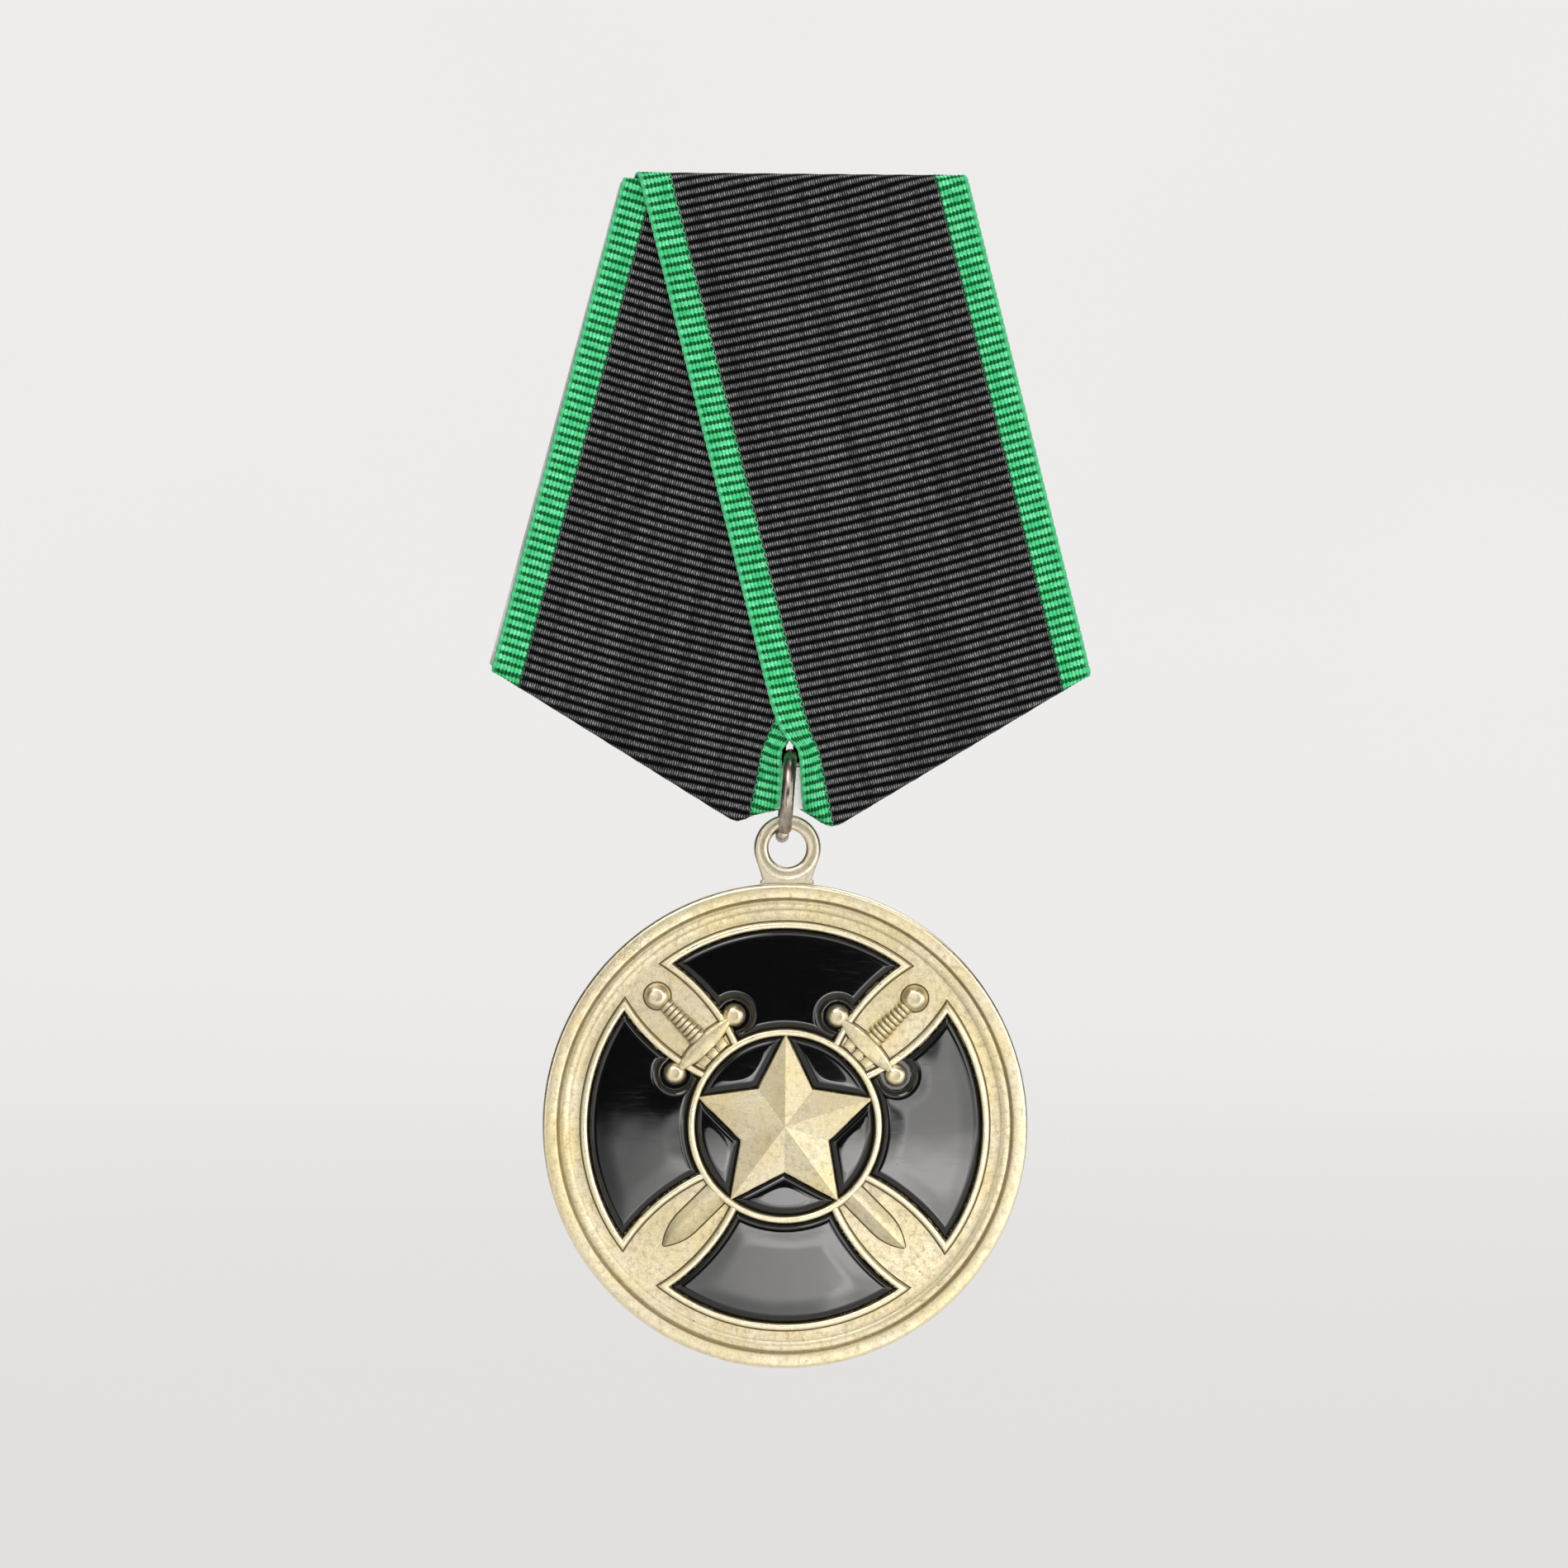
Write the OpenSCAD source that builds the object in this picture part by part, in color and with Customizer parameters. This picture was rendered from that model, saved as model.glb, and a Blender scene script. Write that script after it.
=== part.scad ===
// Service medal on a pentagonal ribbon block, with a brooch fastening.
// Frame: origin on the brooch needle's axis at the middle of its free length,
// +X to the viewer's right, +Z up, the face towards -Y. Millimetres.
// "Drop" is the distance of a feature below the block's top edge.

/* [Block plate] */
// Half the width of the block's top edge
top_half = 13.0; // [12.6:0.1:13.4]
// Half the width of the block at its side corners
side_half = 22.9; // [22.5:0.1:23.2]
// Drop of the plate's own top edge, which the folded ribbon covers
plate_top_drop = 0.85; // [0.6:0.05:0.9]
// Drop of the side corners
side_drop = 37.7; // [37.2:0.1:38.2]
// Drop at which the two lower edges would meet
point_drop = 51.7; // [51.2:0.1:52.2]
// Drop of the flat that cuts the lower point off
foot_drop = 48.6; // [48.4:0.05:48.7]
// Thickness of the plate
plate_t = 0.8; // [0.6:0.1:0.8]
// Half the width of the hole that the ring passes through
hole_half = 1.2; // [1.0:0.1:1.4]
// Drop of the hole's upper edge
hole_top_drop = 42.9; // [42.5:0.1:43.0]
// Height of that hole, down to the middle of the rounded edge that carries the ring
hole_h = 2.55; // [2.5:0.05:2.6]

/* [Ribbon] */
// Width of the ribbon
ribbon_w = 24.2; // [23.8:0.1:24.4]
// Thickness of the ribbon
ribbon_t = 0.4; // [0.3:0.05:0.45]
// Lean of each panel from the vertical, in degrees
ribbon_lean = 14.5; // [14.3:0.1:14.8]
// How far the left panel's outer edge stays inside the plate
left_inset = 0.2; // [0:0.05:0.3]
// How far the right panel's outer edge stands outside the plate
right_overhang = 0.15; // [0:0.05:0.4]
// Length of the ends folded behind the plate
tail_len = 8.5; // [6:0.5:9]
// Air between neighbouring layers
layer_gap = 0.04; // [0.02:0.01:0.06]

/* [Back cover] */
// Thickness of the back cover
cover_t = 0.6; // [0.4:0.1:0.7]
// Distance of the cover's edge inside the plate's edge
cover_inset = 1.0; // [0.9:0.1:1.4]
// Drop of the cover's lower edge
cover_end_drop = 42.2; // [40:0.2:42.4]
// Length of each tab that grips the cover
tab_len = 4.0; // [3:0.5:5]
// Thickness of the tabs
tab_t = 0.5; // [0.4:0.05:0.6]
// Reach of a tab over the cover
tab_reach = 1.8; // [1.4:0.1:2.2]
// Drops of the tabs' middles
tab_drops = [22, 32]; // [21:1:32]

/* [Brooch pin] */
// Drop of the needle below the block's top edge
needle_drop = 14.0; // [12:0.5:18]
// Height of the needle's axis above the pin bar
needle_lift = 2.1; // [2.0:0.1:2.6]
// Radius of the needle's shank
needle_r = 0.5; // [0.4:0.05:0.55]
// Distance of the hinge, and of the catch, from the middle
hinge_x = 13.0; // [12.5:0.5:13.5]
// Width of the pin bar
bar_w = 4.4; // [4:0.2:5]
// Thickness of the pin bar
bar_t = 0.6; // [0.5:0.1:0.8]
// Length of the pin bar
bar_len = 30; // [29:0.5:31]
// Radius of the hinge rivet
rivet_r = 0.5; // [0.4:0.05:0.5]
// Radius of the rounded hinge ears
ear_r = 1.25; // [1.1:0.05:1.3]
// Thickness of each hinge ear
ear_t = 0.5; // [0.4:0.1:0.6]
// Half the gap between the hinge ears
ear_gap_half = 1.1; // [1.1:0.05:1.2]
// Outer radius of the catch bracket
catch_r = 1.7; // [1.65:0.05:1.8]
// Radius of the catch bracket's bore
catch_bore_r = 1.2; // [1.2:0.05:1.3]
// Length of the catch bracket
catch_len = 2.6; // [2.2:0.2:3]

/* [Ring and eyelet] */
// Radius of the ring's wire
wire_r = 0.5; // [0.45:0.01:0.5]
// Radius of the ring at the middle of its wire
ring_r = 3.1; // [3.05:0.05:3.2]
// Air between the ring and each edge that it hangs on
hang_gap = 0.05; // [0.03:0.01:0.08]
// Radius of the eyelet's hole
eyelet_hole_r = 1.45; // [1.4:0.05:1.5]
// Radial width of the eyelet's rounded section
eyelet_band = 1.1; // [1.0:0.05:1.15]
// Thickness of the eyelet from face to face
eyelet_t = 1.6; // [1.4:0.1:1.7]
// Width of the eyelet's foot
foot_w = 3.8; // [3:0.2:4.4]

/* [Disc] */
// Radius of the disc
disc_r = 18.5; // [18:0.1:19]
// Thickness of the rim
rim_t = 2.5; // [2:0.1:3]
// Width of the rim
rim_w = 1.15; // [1:0.05:1.3]
// Thickness of the disc's field
field_t = 1.5; // [1.2:0.1:1.8]
// Radius of the faint step inside the rim
step_r = 16.9; // [16.7:0.1:17]
// Height of that step above the field
step_h = 0.12; // [0.05:0.01:0.2]

/* [Cross, ring and star] */
// Radius of the cross's outer ends
cross_r = 15.6; // [15.2:0.1:15.8]
// Radius of the arcs that hollow the arms' sides
hollow_r = 14.3; // [14:0.1:14.6]
// Distance from the centre at which the gap between two arms is widest
gap_at = 12.1; // [11.8:0.1:12.4]
// Half the widest gap between two arms
gap_half = 2.3; // [2.1:0.1:2.4]
// Width of the walls round the enamel
wall_w = 0.55; // [0.45:0.05:0.6]
// Height of the walls above the field
wall_h = 0.6; // [0.5:0.05:0.7]
// Thickness of the enamel
enamel_h = 0.45; // [0.3:0.05:0.45]
// Width of the moat round each guard ball
ball_moat = 0.4; // [0.35:0.05:0.45]
// Air between the enamel and the metal
enamel_gap = 0.03; // [0.02:0.01:0.05]
// Outer radius of the centre ring
ring_out_r = 7.43; // [7.3:0.05:7.5]
// Inner radius of the centre ring
ring_in_r = 6.87; // [6.8:0.05:6.95]
// Radius of the star's points
star_r = 6.95; // [6.9:0.05:7]
// Height of the star's outer edge above the field
star_edge_h = 0.4; // [0.3:0.05:0.5]
// Height of the star's middle above the field
star_h = 1.0; // [0.8:0.05:1.2]

/* [Swords] */
// Distance of the guard from the disc's centre
guard_at = 8.76; // [8.6:0.05:8.9]
// Distance of the pommel from the disc's centre
pommel_at = 13.9; // [13.6:0.1:14]
// Radius of the pommel
pommel_r = 1.0; // [0.9:0.05:1.05]
// Distance of the guard's end balls from the sword's middle line
ball_at = 3.16; // [3.1:0.02:3.2]
// Radius of the guard's end balls
ball_r = 0.87; // [0.8:0.01:0.9]
// Height of the grip's axis, and of the balls' centres, above the field
sword_lift = 0.1; // [0:0.05:0.2]
// Height of the guard bar above the field
guard_h = 0.75; // [0.6:0.05:0.8]
// Half the guard bar's width at its middle
guard_half = 0.6; // [0.5:0.05:0.65]
// Half the width of the blade
blade_half = 0.95; // [0.8:0.05:1.0]
// Height of the blade's edges above the field
blade_edge_h = 0.2; // [0.15:0.05:0.3]
// Height of the blade's ridge above the field
blade_ridge_h = 0.65; // [0.5:0.05:0.7]
// Distance of the blade's tip from the disc's centre
tip_at = 13.1; // [12.8:0.1:13.4]

/* [Hidden] */
$fn = 96;

// Big enough to pass right through any feature, and enough to reach past an outline
through = 80;
beyond = 5;
// Small overlap that joins the solids of one piece
bite = 0.05;

// Slopes of the block's edges
side_lean = atan((side_half - top_half) / side_drop);
lower_slope = (point_drop - side_drop) / side_half;
lower_lean = atan(lower_slope);

// Heights of the layers in front of and behind the plate's middle plane
left_z = plate_t / 2 + layer_gap;
right_z = left_z + ribbon_t + layer_gap;
cover_z = right_z + ribbon_t + layer_gap;
bar_z = cover_z + cover_t;
needle_z = bar_z + bar_t + needle_lift;

// Drops of the hanging chain, from the rounded edge in the plate to the disc
bearing_r = plate_t / 2;
bearing_drop = hole_top_drop + hole_h;
ring_drop = bearing_drop - bearing_r - hang_gap + ring_r - wire_r;
wire_low_drop = ring_drop + ring_r;
eyelet_r = eyelet_hole_r + eyelet_band;
eyelet_drop = wire_low_drop - wire_r - hang_gap + eyelet_hole_r;
foot_h = 0.15;
foot_sunk = 0.2;
foot_block_h = 0.6;
disc_drop = eyelet_drop + eyelet_r + foot_h + disc_r;

// Heights on the disc, above its middle plane
field_z = field_t / 2;
rim_z = rim_t / 2;
wall_z = field_z + wall_h;
floor_gap = 0.02;
floor_z = field_z + floor_gap;
ring_wall_h = wall_h + 0.1;
step_w = 0.3;
star_gap = 0.12;

// Ring notch in the ribbon: half width, top, and where it opens out for the eyelet
notch_half = 0.85;
notch_top_drop = 43.0;
notch_open_drop = 47.6;
notch_wide_half = 3.5;
notch_wide_drop = 49.7;
lower_tail_from = 1.55;

// Needle: end of the cylindrical shank, start of the point, and tip
shank_end_x = 10.6;
point_start_x = 14.6;
tip_x = 16.0;
point_r = 0.4;
tip_r = 0.06;
eye_r = 1.15;
eye_half = 1.0;
run_gap = 0.05;

// Catch barrel: journal, collars, bore, slot and thumb tab
barrel_r = catch_bore_r - run_gap;
barrel_bore_r = 0.64;
slot_half = 0.6;
collar_r = 1.5;
collar_gap = 0.05;
inner_collar_t = 0.4;
outer_collar_t = 0.85;
thumb_r = 2.7;
thumb_half = 0.45;

// Catch bracket: how much its foot is narrower than its barrel at each side, and its slot
bracket_waist = 0.3;
bracket_slot_half = slot_half + 0.15;

// Grip of the sword
grip_from = 9.5;
grip_to = 13.0;
grip_r_guard = 0.75;
grip_r_pommel = 0.55;
grip_rings = 9;
grip_ring_h = 0.1;
grip_sunk = 0.5;

// Clearance between the tabs and the back cover
tab_gap = 0.03;

// Puts a drawing on the block's or the disc's front: x to the right, y up, z towards the viewer,
// with its origin on the middle plane at the given drop
module on_face(drop) {
    translate([0, -needle_z, needle_drop - drop]) rotate([90, 0, 0]) children();
}

// A flat piece between two heights above the middle plane
module layer(low, high) {
    translate([0, 0, low]) linear_extrude(high - low) children();
}

// Both halves of something symmetrical about the vertical
module both_sides() {
    children();
    mirror([1, 0, 0]) children();
}

// Outline of the plate, its edges moved in by a margin and its point cut at a drop
module plate_outline(margin, end_drop) {
    side_in = margin / cos(side_lean);
    low_in = margin / cos(lower_lean);
    corner_drop = side_drop - (low_in - side_in * lower_slope) / (1 + tan(side_lean) * lower_slope);
    corner_x = top_half + corner_drop * tan(side_lean) - side_in;
    end_x = (point_drop - low_in - end_drop) / lower_slope;
    top_in = plate_top_drop + margin;
    right = [[top_half + top_in * tan(side_lean) - side_in, -top_in], [corner_x, -corner_drop],
        [end_x, -end_drop]];
    polygon([for (p = right) p, for (i = [2:-1:0]) [-right[i][0], right[i][1]]]);
}

// ---- Block plate ----

// One tab on the right side: a wall down the plate's edge and a lip over the cover
module side_tab(drop) {
    tab_top = bar_z + tab_gap;
    translate([top_half, 0, 0]) rotate(side_lean) translate([0, -drop / cos(side_lean), 0]) {
        translate([-tab_t, -tab_len / 2, -tab_top - tab_t])
            cube([tab_t, tab_len, tab_top + tab_t + bite - plate_t / 2]);
        translate([-tab_t - tab_reach, -tab_len / 2, -tab_top - tab_t])
            cube([tab_reach + bite, tab_len, tab_t]);
    }
}

module front_plate() {
    color([0.80, 0.80, 0.78]) on_face(0) {
        difference() {
            layer(-plate_t / 2, plate_t / 2) plate_outline(0, foot_drop);
            translate([-hole_half, -bearing_drop, -through / 2])
                cube([2 * hole_half, bearing_drop - hole_top_drop, through]);
        }
        // rounded lower edge of the hole, on which the ring hangs
        translate([-hole_half - bite, -bearing_drop, 0]) rotate([0, 90, 0])
            cylinder(r = bearing_r, h = 2 * (hole_half + bite));
        both_sides() for (drop = tab_drops) side_tab(drop);
    }
}

// ---- Ribbon ----

// Everything between the top and the lower edges, moved out by a margin; open at the sides
module wrap_outline(margin) {
    wide = side_half + beyond;
    high = margin - plate_top_drop;
    low_out = margin / cos(lower_lean);
    polygon([[-wide, high], [wide, high], [wide, -point_drop - low_out + wide * lower_slope],
        [0, -point_drop - low_out], [-wide, -point_drop - low_out + wide * lower_slope]]);
}

// The right panel's strip of ribbon, its outer edge standing outside the plate by the overhang
module strip(overhang) {
    translate([top_half + overhang, 0]) rotate(ribbon_lean)
        translate([-ribbon_w, -through]) square([ribbon_w, 2 * through]);
}

// Room for the ring and the eyelet between the two panels
module ring_notch() {
    translate([0, -notch_top_drop - notch_half]) circle(notch_half);
    polygon([[notch_half, -notch_top_drop - notch_half], [notch_half, -notch_open_drop],
        [notch_wide_half, -notch_wide_drop], [notch_wide_half, -through],
        [-notch_wide_half, -through], [-notch_wide_half, -notch_wide_drop],
        [-notch_half, -notch_open_drop], [-notch_half, -notch_top_drop - notch_half]]);
}

// End of the ribbon turned behind the top edge
module top_tail(overhang, height) {
    intersection() {
        translate([0, -2 * plate_top_drop]) mirror([0, 1]) strip(overhang);
        translate([-top_half - cover_inset, -plate_top_drop - tail_len])
            square([2 * (top_half + cover_inset), tail_len + height]);
        plate_sides(cover_inset);
    }
}

// End of the ribbon turned behind the lower right edge
module lower_tail(overhang, height) {
    intersection() {
        translate([0, -point_drop]) mirror([sin(lower_lean), -cos(lower_lean)])
            translate([0, point_drop]) strip(overhang);
        translate([0, -point_drop]) rotate(lower_lean)
            translate([0, -height]) square([through, tail_len + height]);
        translate([lower_tail_from, -through]) square([through, through]);
        union() {
            plate_sides(cover_inset);
            wrap_lower_corner();
        }
    }
}

// Strip between the plate's two sides, moved in by a margin
module plate_sides(margin) {
    low = point_drop + beyond;
    low_x = top_half + low * tan(side_lean) - margin;
    high_x = top_half - beyond * tan(side_lean) - margin;
    polygon([[-high_x, beyond], [high_x, beyond], [low_x, -low], [-low_x, -low]]);
}

// Corner region below the sides' ends, where the folded ribbon may reach the full width
module wrap_lower_corner() {
    translate([0, -point_drop - beyond])
        square([side_half + beyond, point_drop + beyond - side_drop]);
}

// A ribbon panel on the right: front, folds over the edges, and both ends behind the plate
module ribbon_panel(overhang, height) {
    difference() {
        union() {
            layer(height, height + ribbon_t) intersection() {
                strip(overhang);
                wrap_outline(height + ribbon_t - plate_t / 2);
            }
            layer(-height - ribbon_t, height + ribbon_t) intersection() {
                strip(overhang);
                difference() {
                    wrap_outline(height + ribbon_t - plate_t / 2);
                    wrap_outline(height - plate_t / 2);
                }
            }
            layer(-height - ribbon_t, -height) {
                top_tail(overhang, height + ribbon_t - plate_t / 2);
                lower_tail(overhang, height + ribbon_t - plate_t / 2);
            }
        }
        layer(-through, through) ring_notch();
    }
}

module ribbon_left() {
    color([0.07, 0.07, 0.07]) on_face(0) mirror([1, 0, 0]) ribbon_panel(-left_inset, left_z);
}

module ribbon_right() {
    color([0.10, 0.10, 0.10]) on_face(0) ribbon_panel(right_overhang, right_z);
}

// ---- Back cover and brooch pin ----

module back_cover() {
    color([0.72, 0.72, 0.70]) on_face(0) layer(-cover_z - cover_t, -cover_z)
        plate_outline(cover_inset, cover_end_drop);
}

module pin_bar() {
    color([0.78, 0.68, 0.42]) translate([0, -needle_lift, 0]) {
        end_x = bar_len / 2 - bar_w / 2;
        rotate([90, 0, 0]) linear_extrude(bar_t) {
            translate([-end_x, -bar_w / 2]) square([2 * end_x, bar_w]);
            both_sides() translate([end_x, 0]) circle(bar_w / 2);
        }
        for (side = [-1, 1])
            translate([-hinge_x, 0, side * (ear_gap_half + ear_t / 2)]) hinge_ear();
    }
}

// A hinge ear with its rivet hole, standing on the bar's surface
module hinge_ear() {
    difference() {
        union() {
            translate([-ear_r, -bite, -ear_t / 2]) cube([2 * ear_r, needle_lift + bite, ear_t]);
            translate([0, needle_lift, -ear_t / 2]) cylinder(r = ear_r, h = ear_t);
        }
        translate([0, needle_lift, -ear_t]) cylinder(r = rivet_r, h = 2 * ear_t);
    }
}

module hinge_rivet() {
    head_r = 0.85;
    head_t = 0.4;
    half = ear_gap_half + ear_t;
    color([0.75, 0.75, 0.74]) translate([-hinge_x, 0, 0]) {
        translate([0, 0, -half - bite]) cylinder(r = rivet_r, h = 2 * (half + bite));
        for (side = [0, 1]) mirror([0, 0, side]) translate([0, 0, half])
            cylinder(r = head_r, h = head_t);
    }
}

module pin_needle() {
    color([0.82, 0.82, 0.81]) difference() {
        union() {
            translate([-hinge_x, 0, -eye_half]) cylinder(r = eye_r, h = 2 * eye_half);
            rotate([0, 90, 0]) {
                translate([0, 0, -hinge_x]) cylinder(r = needle_r, h = hinge_x + shank_end_x);
                translate([0, 0, shank_end_x])
                    cylinder(r1 = needle_r, r2 = point_r, h = point_start_x - shank_end_x);
                translate([0, 0, point_start_x])
                    cylinder(r1 = point_r, r2 = tip_r, h = tip_x - point_start_x);
            }
        }
        translate([-hinge_x, 0, -through / 2]) cylinder(r = rivet_r + run_gap, h = through);
    }
}

module catch_bracket() {
    color([0.78, 0.68, 0.42]) translate([hinge_x - catch_len / 2, 0, 0]) difference() {
        union() {
            rotate([0, 90, 0]) cylinder(r = catch_r, h = catch_len);
            translate([0, -needle_lift, -catch_r + bracket_waist])
                cube([catch_len, needle_lift, 2 * (catch_r - bracket_waist)]);
        }
        translate([-beyond, 0, 0]) {
            rotate([0, 90, 0]) cylinder(r = catch_bore_r, h = catch_len + 2 * beyond);
            translate([0, 0, -bracket_slot_half])
                cube([catch_len + 2 * beyond, through, 2 * bracket_slot_half]);
        }
    }
}

module catch_barrel() {
    left_end = -catch_len / 2 - collar_gap - inner_collar_t;
    right_face = catch_len / 2 + collar_gap;
    color([0.83, 0.74, 0.48]) translate([hinge_x, 0, 0]) difference() {
        union() {
            translate([left_end, 0, 0]) rotate([0, 90, 0]) {
                cylinder(r = barrel_r, h = right_face + outer_collar_t - left_end);
                cylinder(r = collar_r, h = inner_collar_t);
            }
            translate([right_face, 0, 0]) rotate([0, 90, 0])
                cylinder(r = collar_r, h = outer_collar_t);
            // thumb tab, straight up while the slot is open
            translate([right_face, -thumb_half, 0]) cube([outer_collar_t, 2 * thumb_half, thumb_r]);
        }
        translate([-through / 2, 0, 0]) rotate([0, 90, 0]) cylinder(r = barrel_bore_r, h = through);
        translate([-through / 2, 0, -slot_half]) cube([through, through, 2 * slot_half]);
    }
}

// ---- Ring and medal ----

module jump_ring() {
    color([0.36, 0.34, 0.31]) on_face(ring_drop) rotate([0, 90, 0])
        rotate_extrude() translate([ring_r, 0]) circle(wire_r);
}

module suspension_eyelet() {
    half_flat = (eyelet_t - eyelet_band) / 2;
    color([0.80, 0.72, 0.52]) on_face(eyelet_drop) {
        rotate_extrude() translate([eyelet_hole_r + eyelet_band / 2, 0]) {
            for (side = [-1, 1]) translate([0, side * half_flat]) circle(eyelet_band / 2);
            translate([-eyelet_band / 2, -half_flat]) square([eyelet_band, 2 * half_flat]);
        }
        difference() {
            translate([-foot_w / 2, -eyelet_r - foot_h - foot_sunk, -eyelet_t / 2])
                cube([foot_w, foot_block_h, eyelet_t]);
            translate([0, -eyelet_r - foot_h - disc_r, -through / 2])
                cylinder(r = disc_r, h = through);
        }
    }
}

// Outline of the whole cross with its edge moved in by a margin
module cross_outline(margin) {
    centre_v = hollow_r - gap_half;
    difference() {
        circle(cross_r - margin);
        for (turn = [45:90:315]) rotate(turn) translate([gap_at, 0]) intersection() {
            translate([0, centre_v]) circle(hollow_r + margin);
            translate([0, -centre_v]) circle(hollow_r + margin);
        }
    }
}

// Circles round the guards' end balls
module ball_circles(margin) {
    for (turn = [45, 135]) rotate(turn) for (side = [-1, 1])
        translate([guard_at, side * ball_at]) circle(ball_r + margin);
}

// Five-pointed star with one point up
module star_outline(radius) {
    polygon([for (i = [0:9]) let (r = i % 2 == 0 ? radius : radius / 2, a = 90 + 36 * i)
        [r * cos(a), r * sin(a)]]);
}

// Ten facets that meet in the star's middle
module star_roof(radius, height) {
    rim = [for (i = [0:9]) let (r = i % 2 == 0 ? radius : radius / 2, a = 90 + 36 * i)
        [r * cos(a), r * sin(a), 0]];
    polyhedron(points = concat(rim, [[0, 0, height], [0, 0, 0]]),
        faces = [for (i = [0:9]) each [[i, 10, (i + 1) % 10], [(i + 1) % 10, 11, i]]]);
}

// Sword hilt along +X: pommel, ringed grip, guard bar and its end balls
module sword_hilt() {
    axis_z = field_z + sword_lift;
    guard_arc_r = (pow(ball_at, 2) + pow(guard_half, 2)) / (2 * guard_half);
    grip_pitch = (grip_to - grip_from) / grip_rings;
    translate([pommel_at, 0, axis_z]) sphere(pommel_r);
    translate([grip_from - grip_sunk, 0, axis_z]) rotate([0, 90, 0])
        cylinder(r1 = grip_r_guard, r2 = grip_r_pommel, h = grip_to + grip_sunk - grip_from);
    for (i = [0:grip_rings - 1]) let (along = (i + 0.5) / grip_rings)
        translate([grip_from + i * grip_pitch + grip_pitch / 4, 0, axis_z]) rotate([0, 90, 0])
            cylinder(r = grip_r_guard + along * (grip_r_pommel - grip_r_guard) + grip_ring_h,
                h = grip_pitch / 2);
    translate([guard_at, 0, 0]) layer(field_z - bite, field_z + guard_h) intersection_for (side = [-1, 1])
        translate([side * (guard_arc_r - guard_half), 0]) circle(guard_arc_r);
    for (side = [-1, 1]) translate([guard_at, side * ball_at, axis_z]) sphere(ball_r);
}

// Sword blade along +X: a ridged bar that ends in a pointed arch
module sword_blade() {
    arch_from = 10.4;
    arch_len = tip_at - arch_from;
    arch_r = (pow(arch_len, 2) + pow(blade_half, 2)) / (2 * blade_half);
    intersection() {
        layer(0, through) {
            translate([ring_in_r, -blade_half]) square([arch_from - ring_in_r, 2 * blade_half]);
            translate([arch_from, 0]) intersection() {
                square([arch_len, 2 * blade_half]);
                translate([0, blade_half - arch_r]) circle(arch_r);
            }
            mirror([0, 1]) translate([arch_from, 0]) intersection() {
                square([arch_len, 2 * blade_half]);
                translate([0, blade_half - arch_r]) circle(arch_r);
            }
        }
        translate([ring_in_r, 0, 0]) rotate([90, 0, 90]) linear_extrude(tip_at)
            polygon([[-blade_half, field_z - bite], [blade_half, field_z - bite],
                [blade_half, field_z + blade_edge_h], [0, field_z + blade_ridge_h],
                [-blade_half, field_z + blade_edge_h]]);
    }
}

module medal_disc() {
    color([0.80, 0.72, 0.52]) on_face(disc_drop) {
        difference() {
            cylinder(r = disc_r, h = rim_t, center = true);
            for (side = [0, 1]) mirror([0, 0, side]) translate([0, 0, field_z])
                cylinder(r = disc_r - rim_w, h = through);
        }
        layer(field_z - bite, field_z + step_h) difference() {
            circle(step_r);
            circle(step_r - step_w);
        }
        layer(field_z - bite, wall_z) difference() {
            cross_outline(0);
            cross_outline(wall_w);
            circle((ring_in_r + ring_out_r) / 2);
        }
        layer(field_z - bite, field_z + ring_wall_h) difference() {
            circle(ring_out_r);
            circle(ring_in_r);
        }
        layer(field_z - bite, field_z + star_edge_h) star_outline(star_r);
        translate([0, 0, field_z + star_edge_h - bite])
            star_roof(star_r, star_h - star_edge_h + bite);
        for (turn = [45, 135]) rotate(turn) sword_hilt();
        for (turn = [225, 315]) rotate(turn) sword_blade();
    }
}

// One enamel fill of the cross; turn 0 is the arm on the right
module enamel_arm(turn) {
    color([0.03, 0.03, 0.03]) on_face(disc_drop) layer(floor_z, floor_z + enamel_h) difference() {
        intersection() {
            cross_outline(wall_w + enamel_gap);
            rotate(turn - 45) square([cross_r, cross_r]);
        }
        circle(ring_out_r + enamel_gap);
        ball_circles(ball_moat);
    }
}

module enamel_arm_top() { enamel_arm(90); }
module enamel_arm_right() { enamel_arm(0); }
module enamel_arm_bottom() { enamel_arm(270); }
module enamel_arm_left() { enamel_arm(180); }

// One enamel fill between two points of the star, counted clockwise from the top
module enamel_star_field(place) {
    middle = 90 - 36 - 72 * (place - 1);
    spread = through * tan(36);
    color([0.03, 0.03, 0.03]) on_face(disc_drop) layer(floor_z, floor_z + enamel_h) difference() {
        intersection() {
            circle(ring_in_r - enamel_gap);
            rotate(middle) polygon([[0, 0], [through, -spread], [through, spread]]);
        }
        star_outline(star_r + star_gap);
    }
}

front_plate();
ribbon_left();
ribbon_right();
back_cover();
pin_bar();
hinge_rivet();
catch_bracket();
pin_needle();
catch_barrel();
jump_ring();
suspension_eyelet();
medal_disc();
enamel_arm_top();
enamel_arm_right();
enamel_arm_bottom();
enamel_arm_left();
for (place = [1:5])
    enamel_star_field(place);
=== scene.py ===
import math

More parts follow.
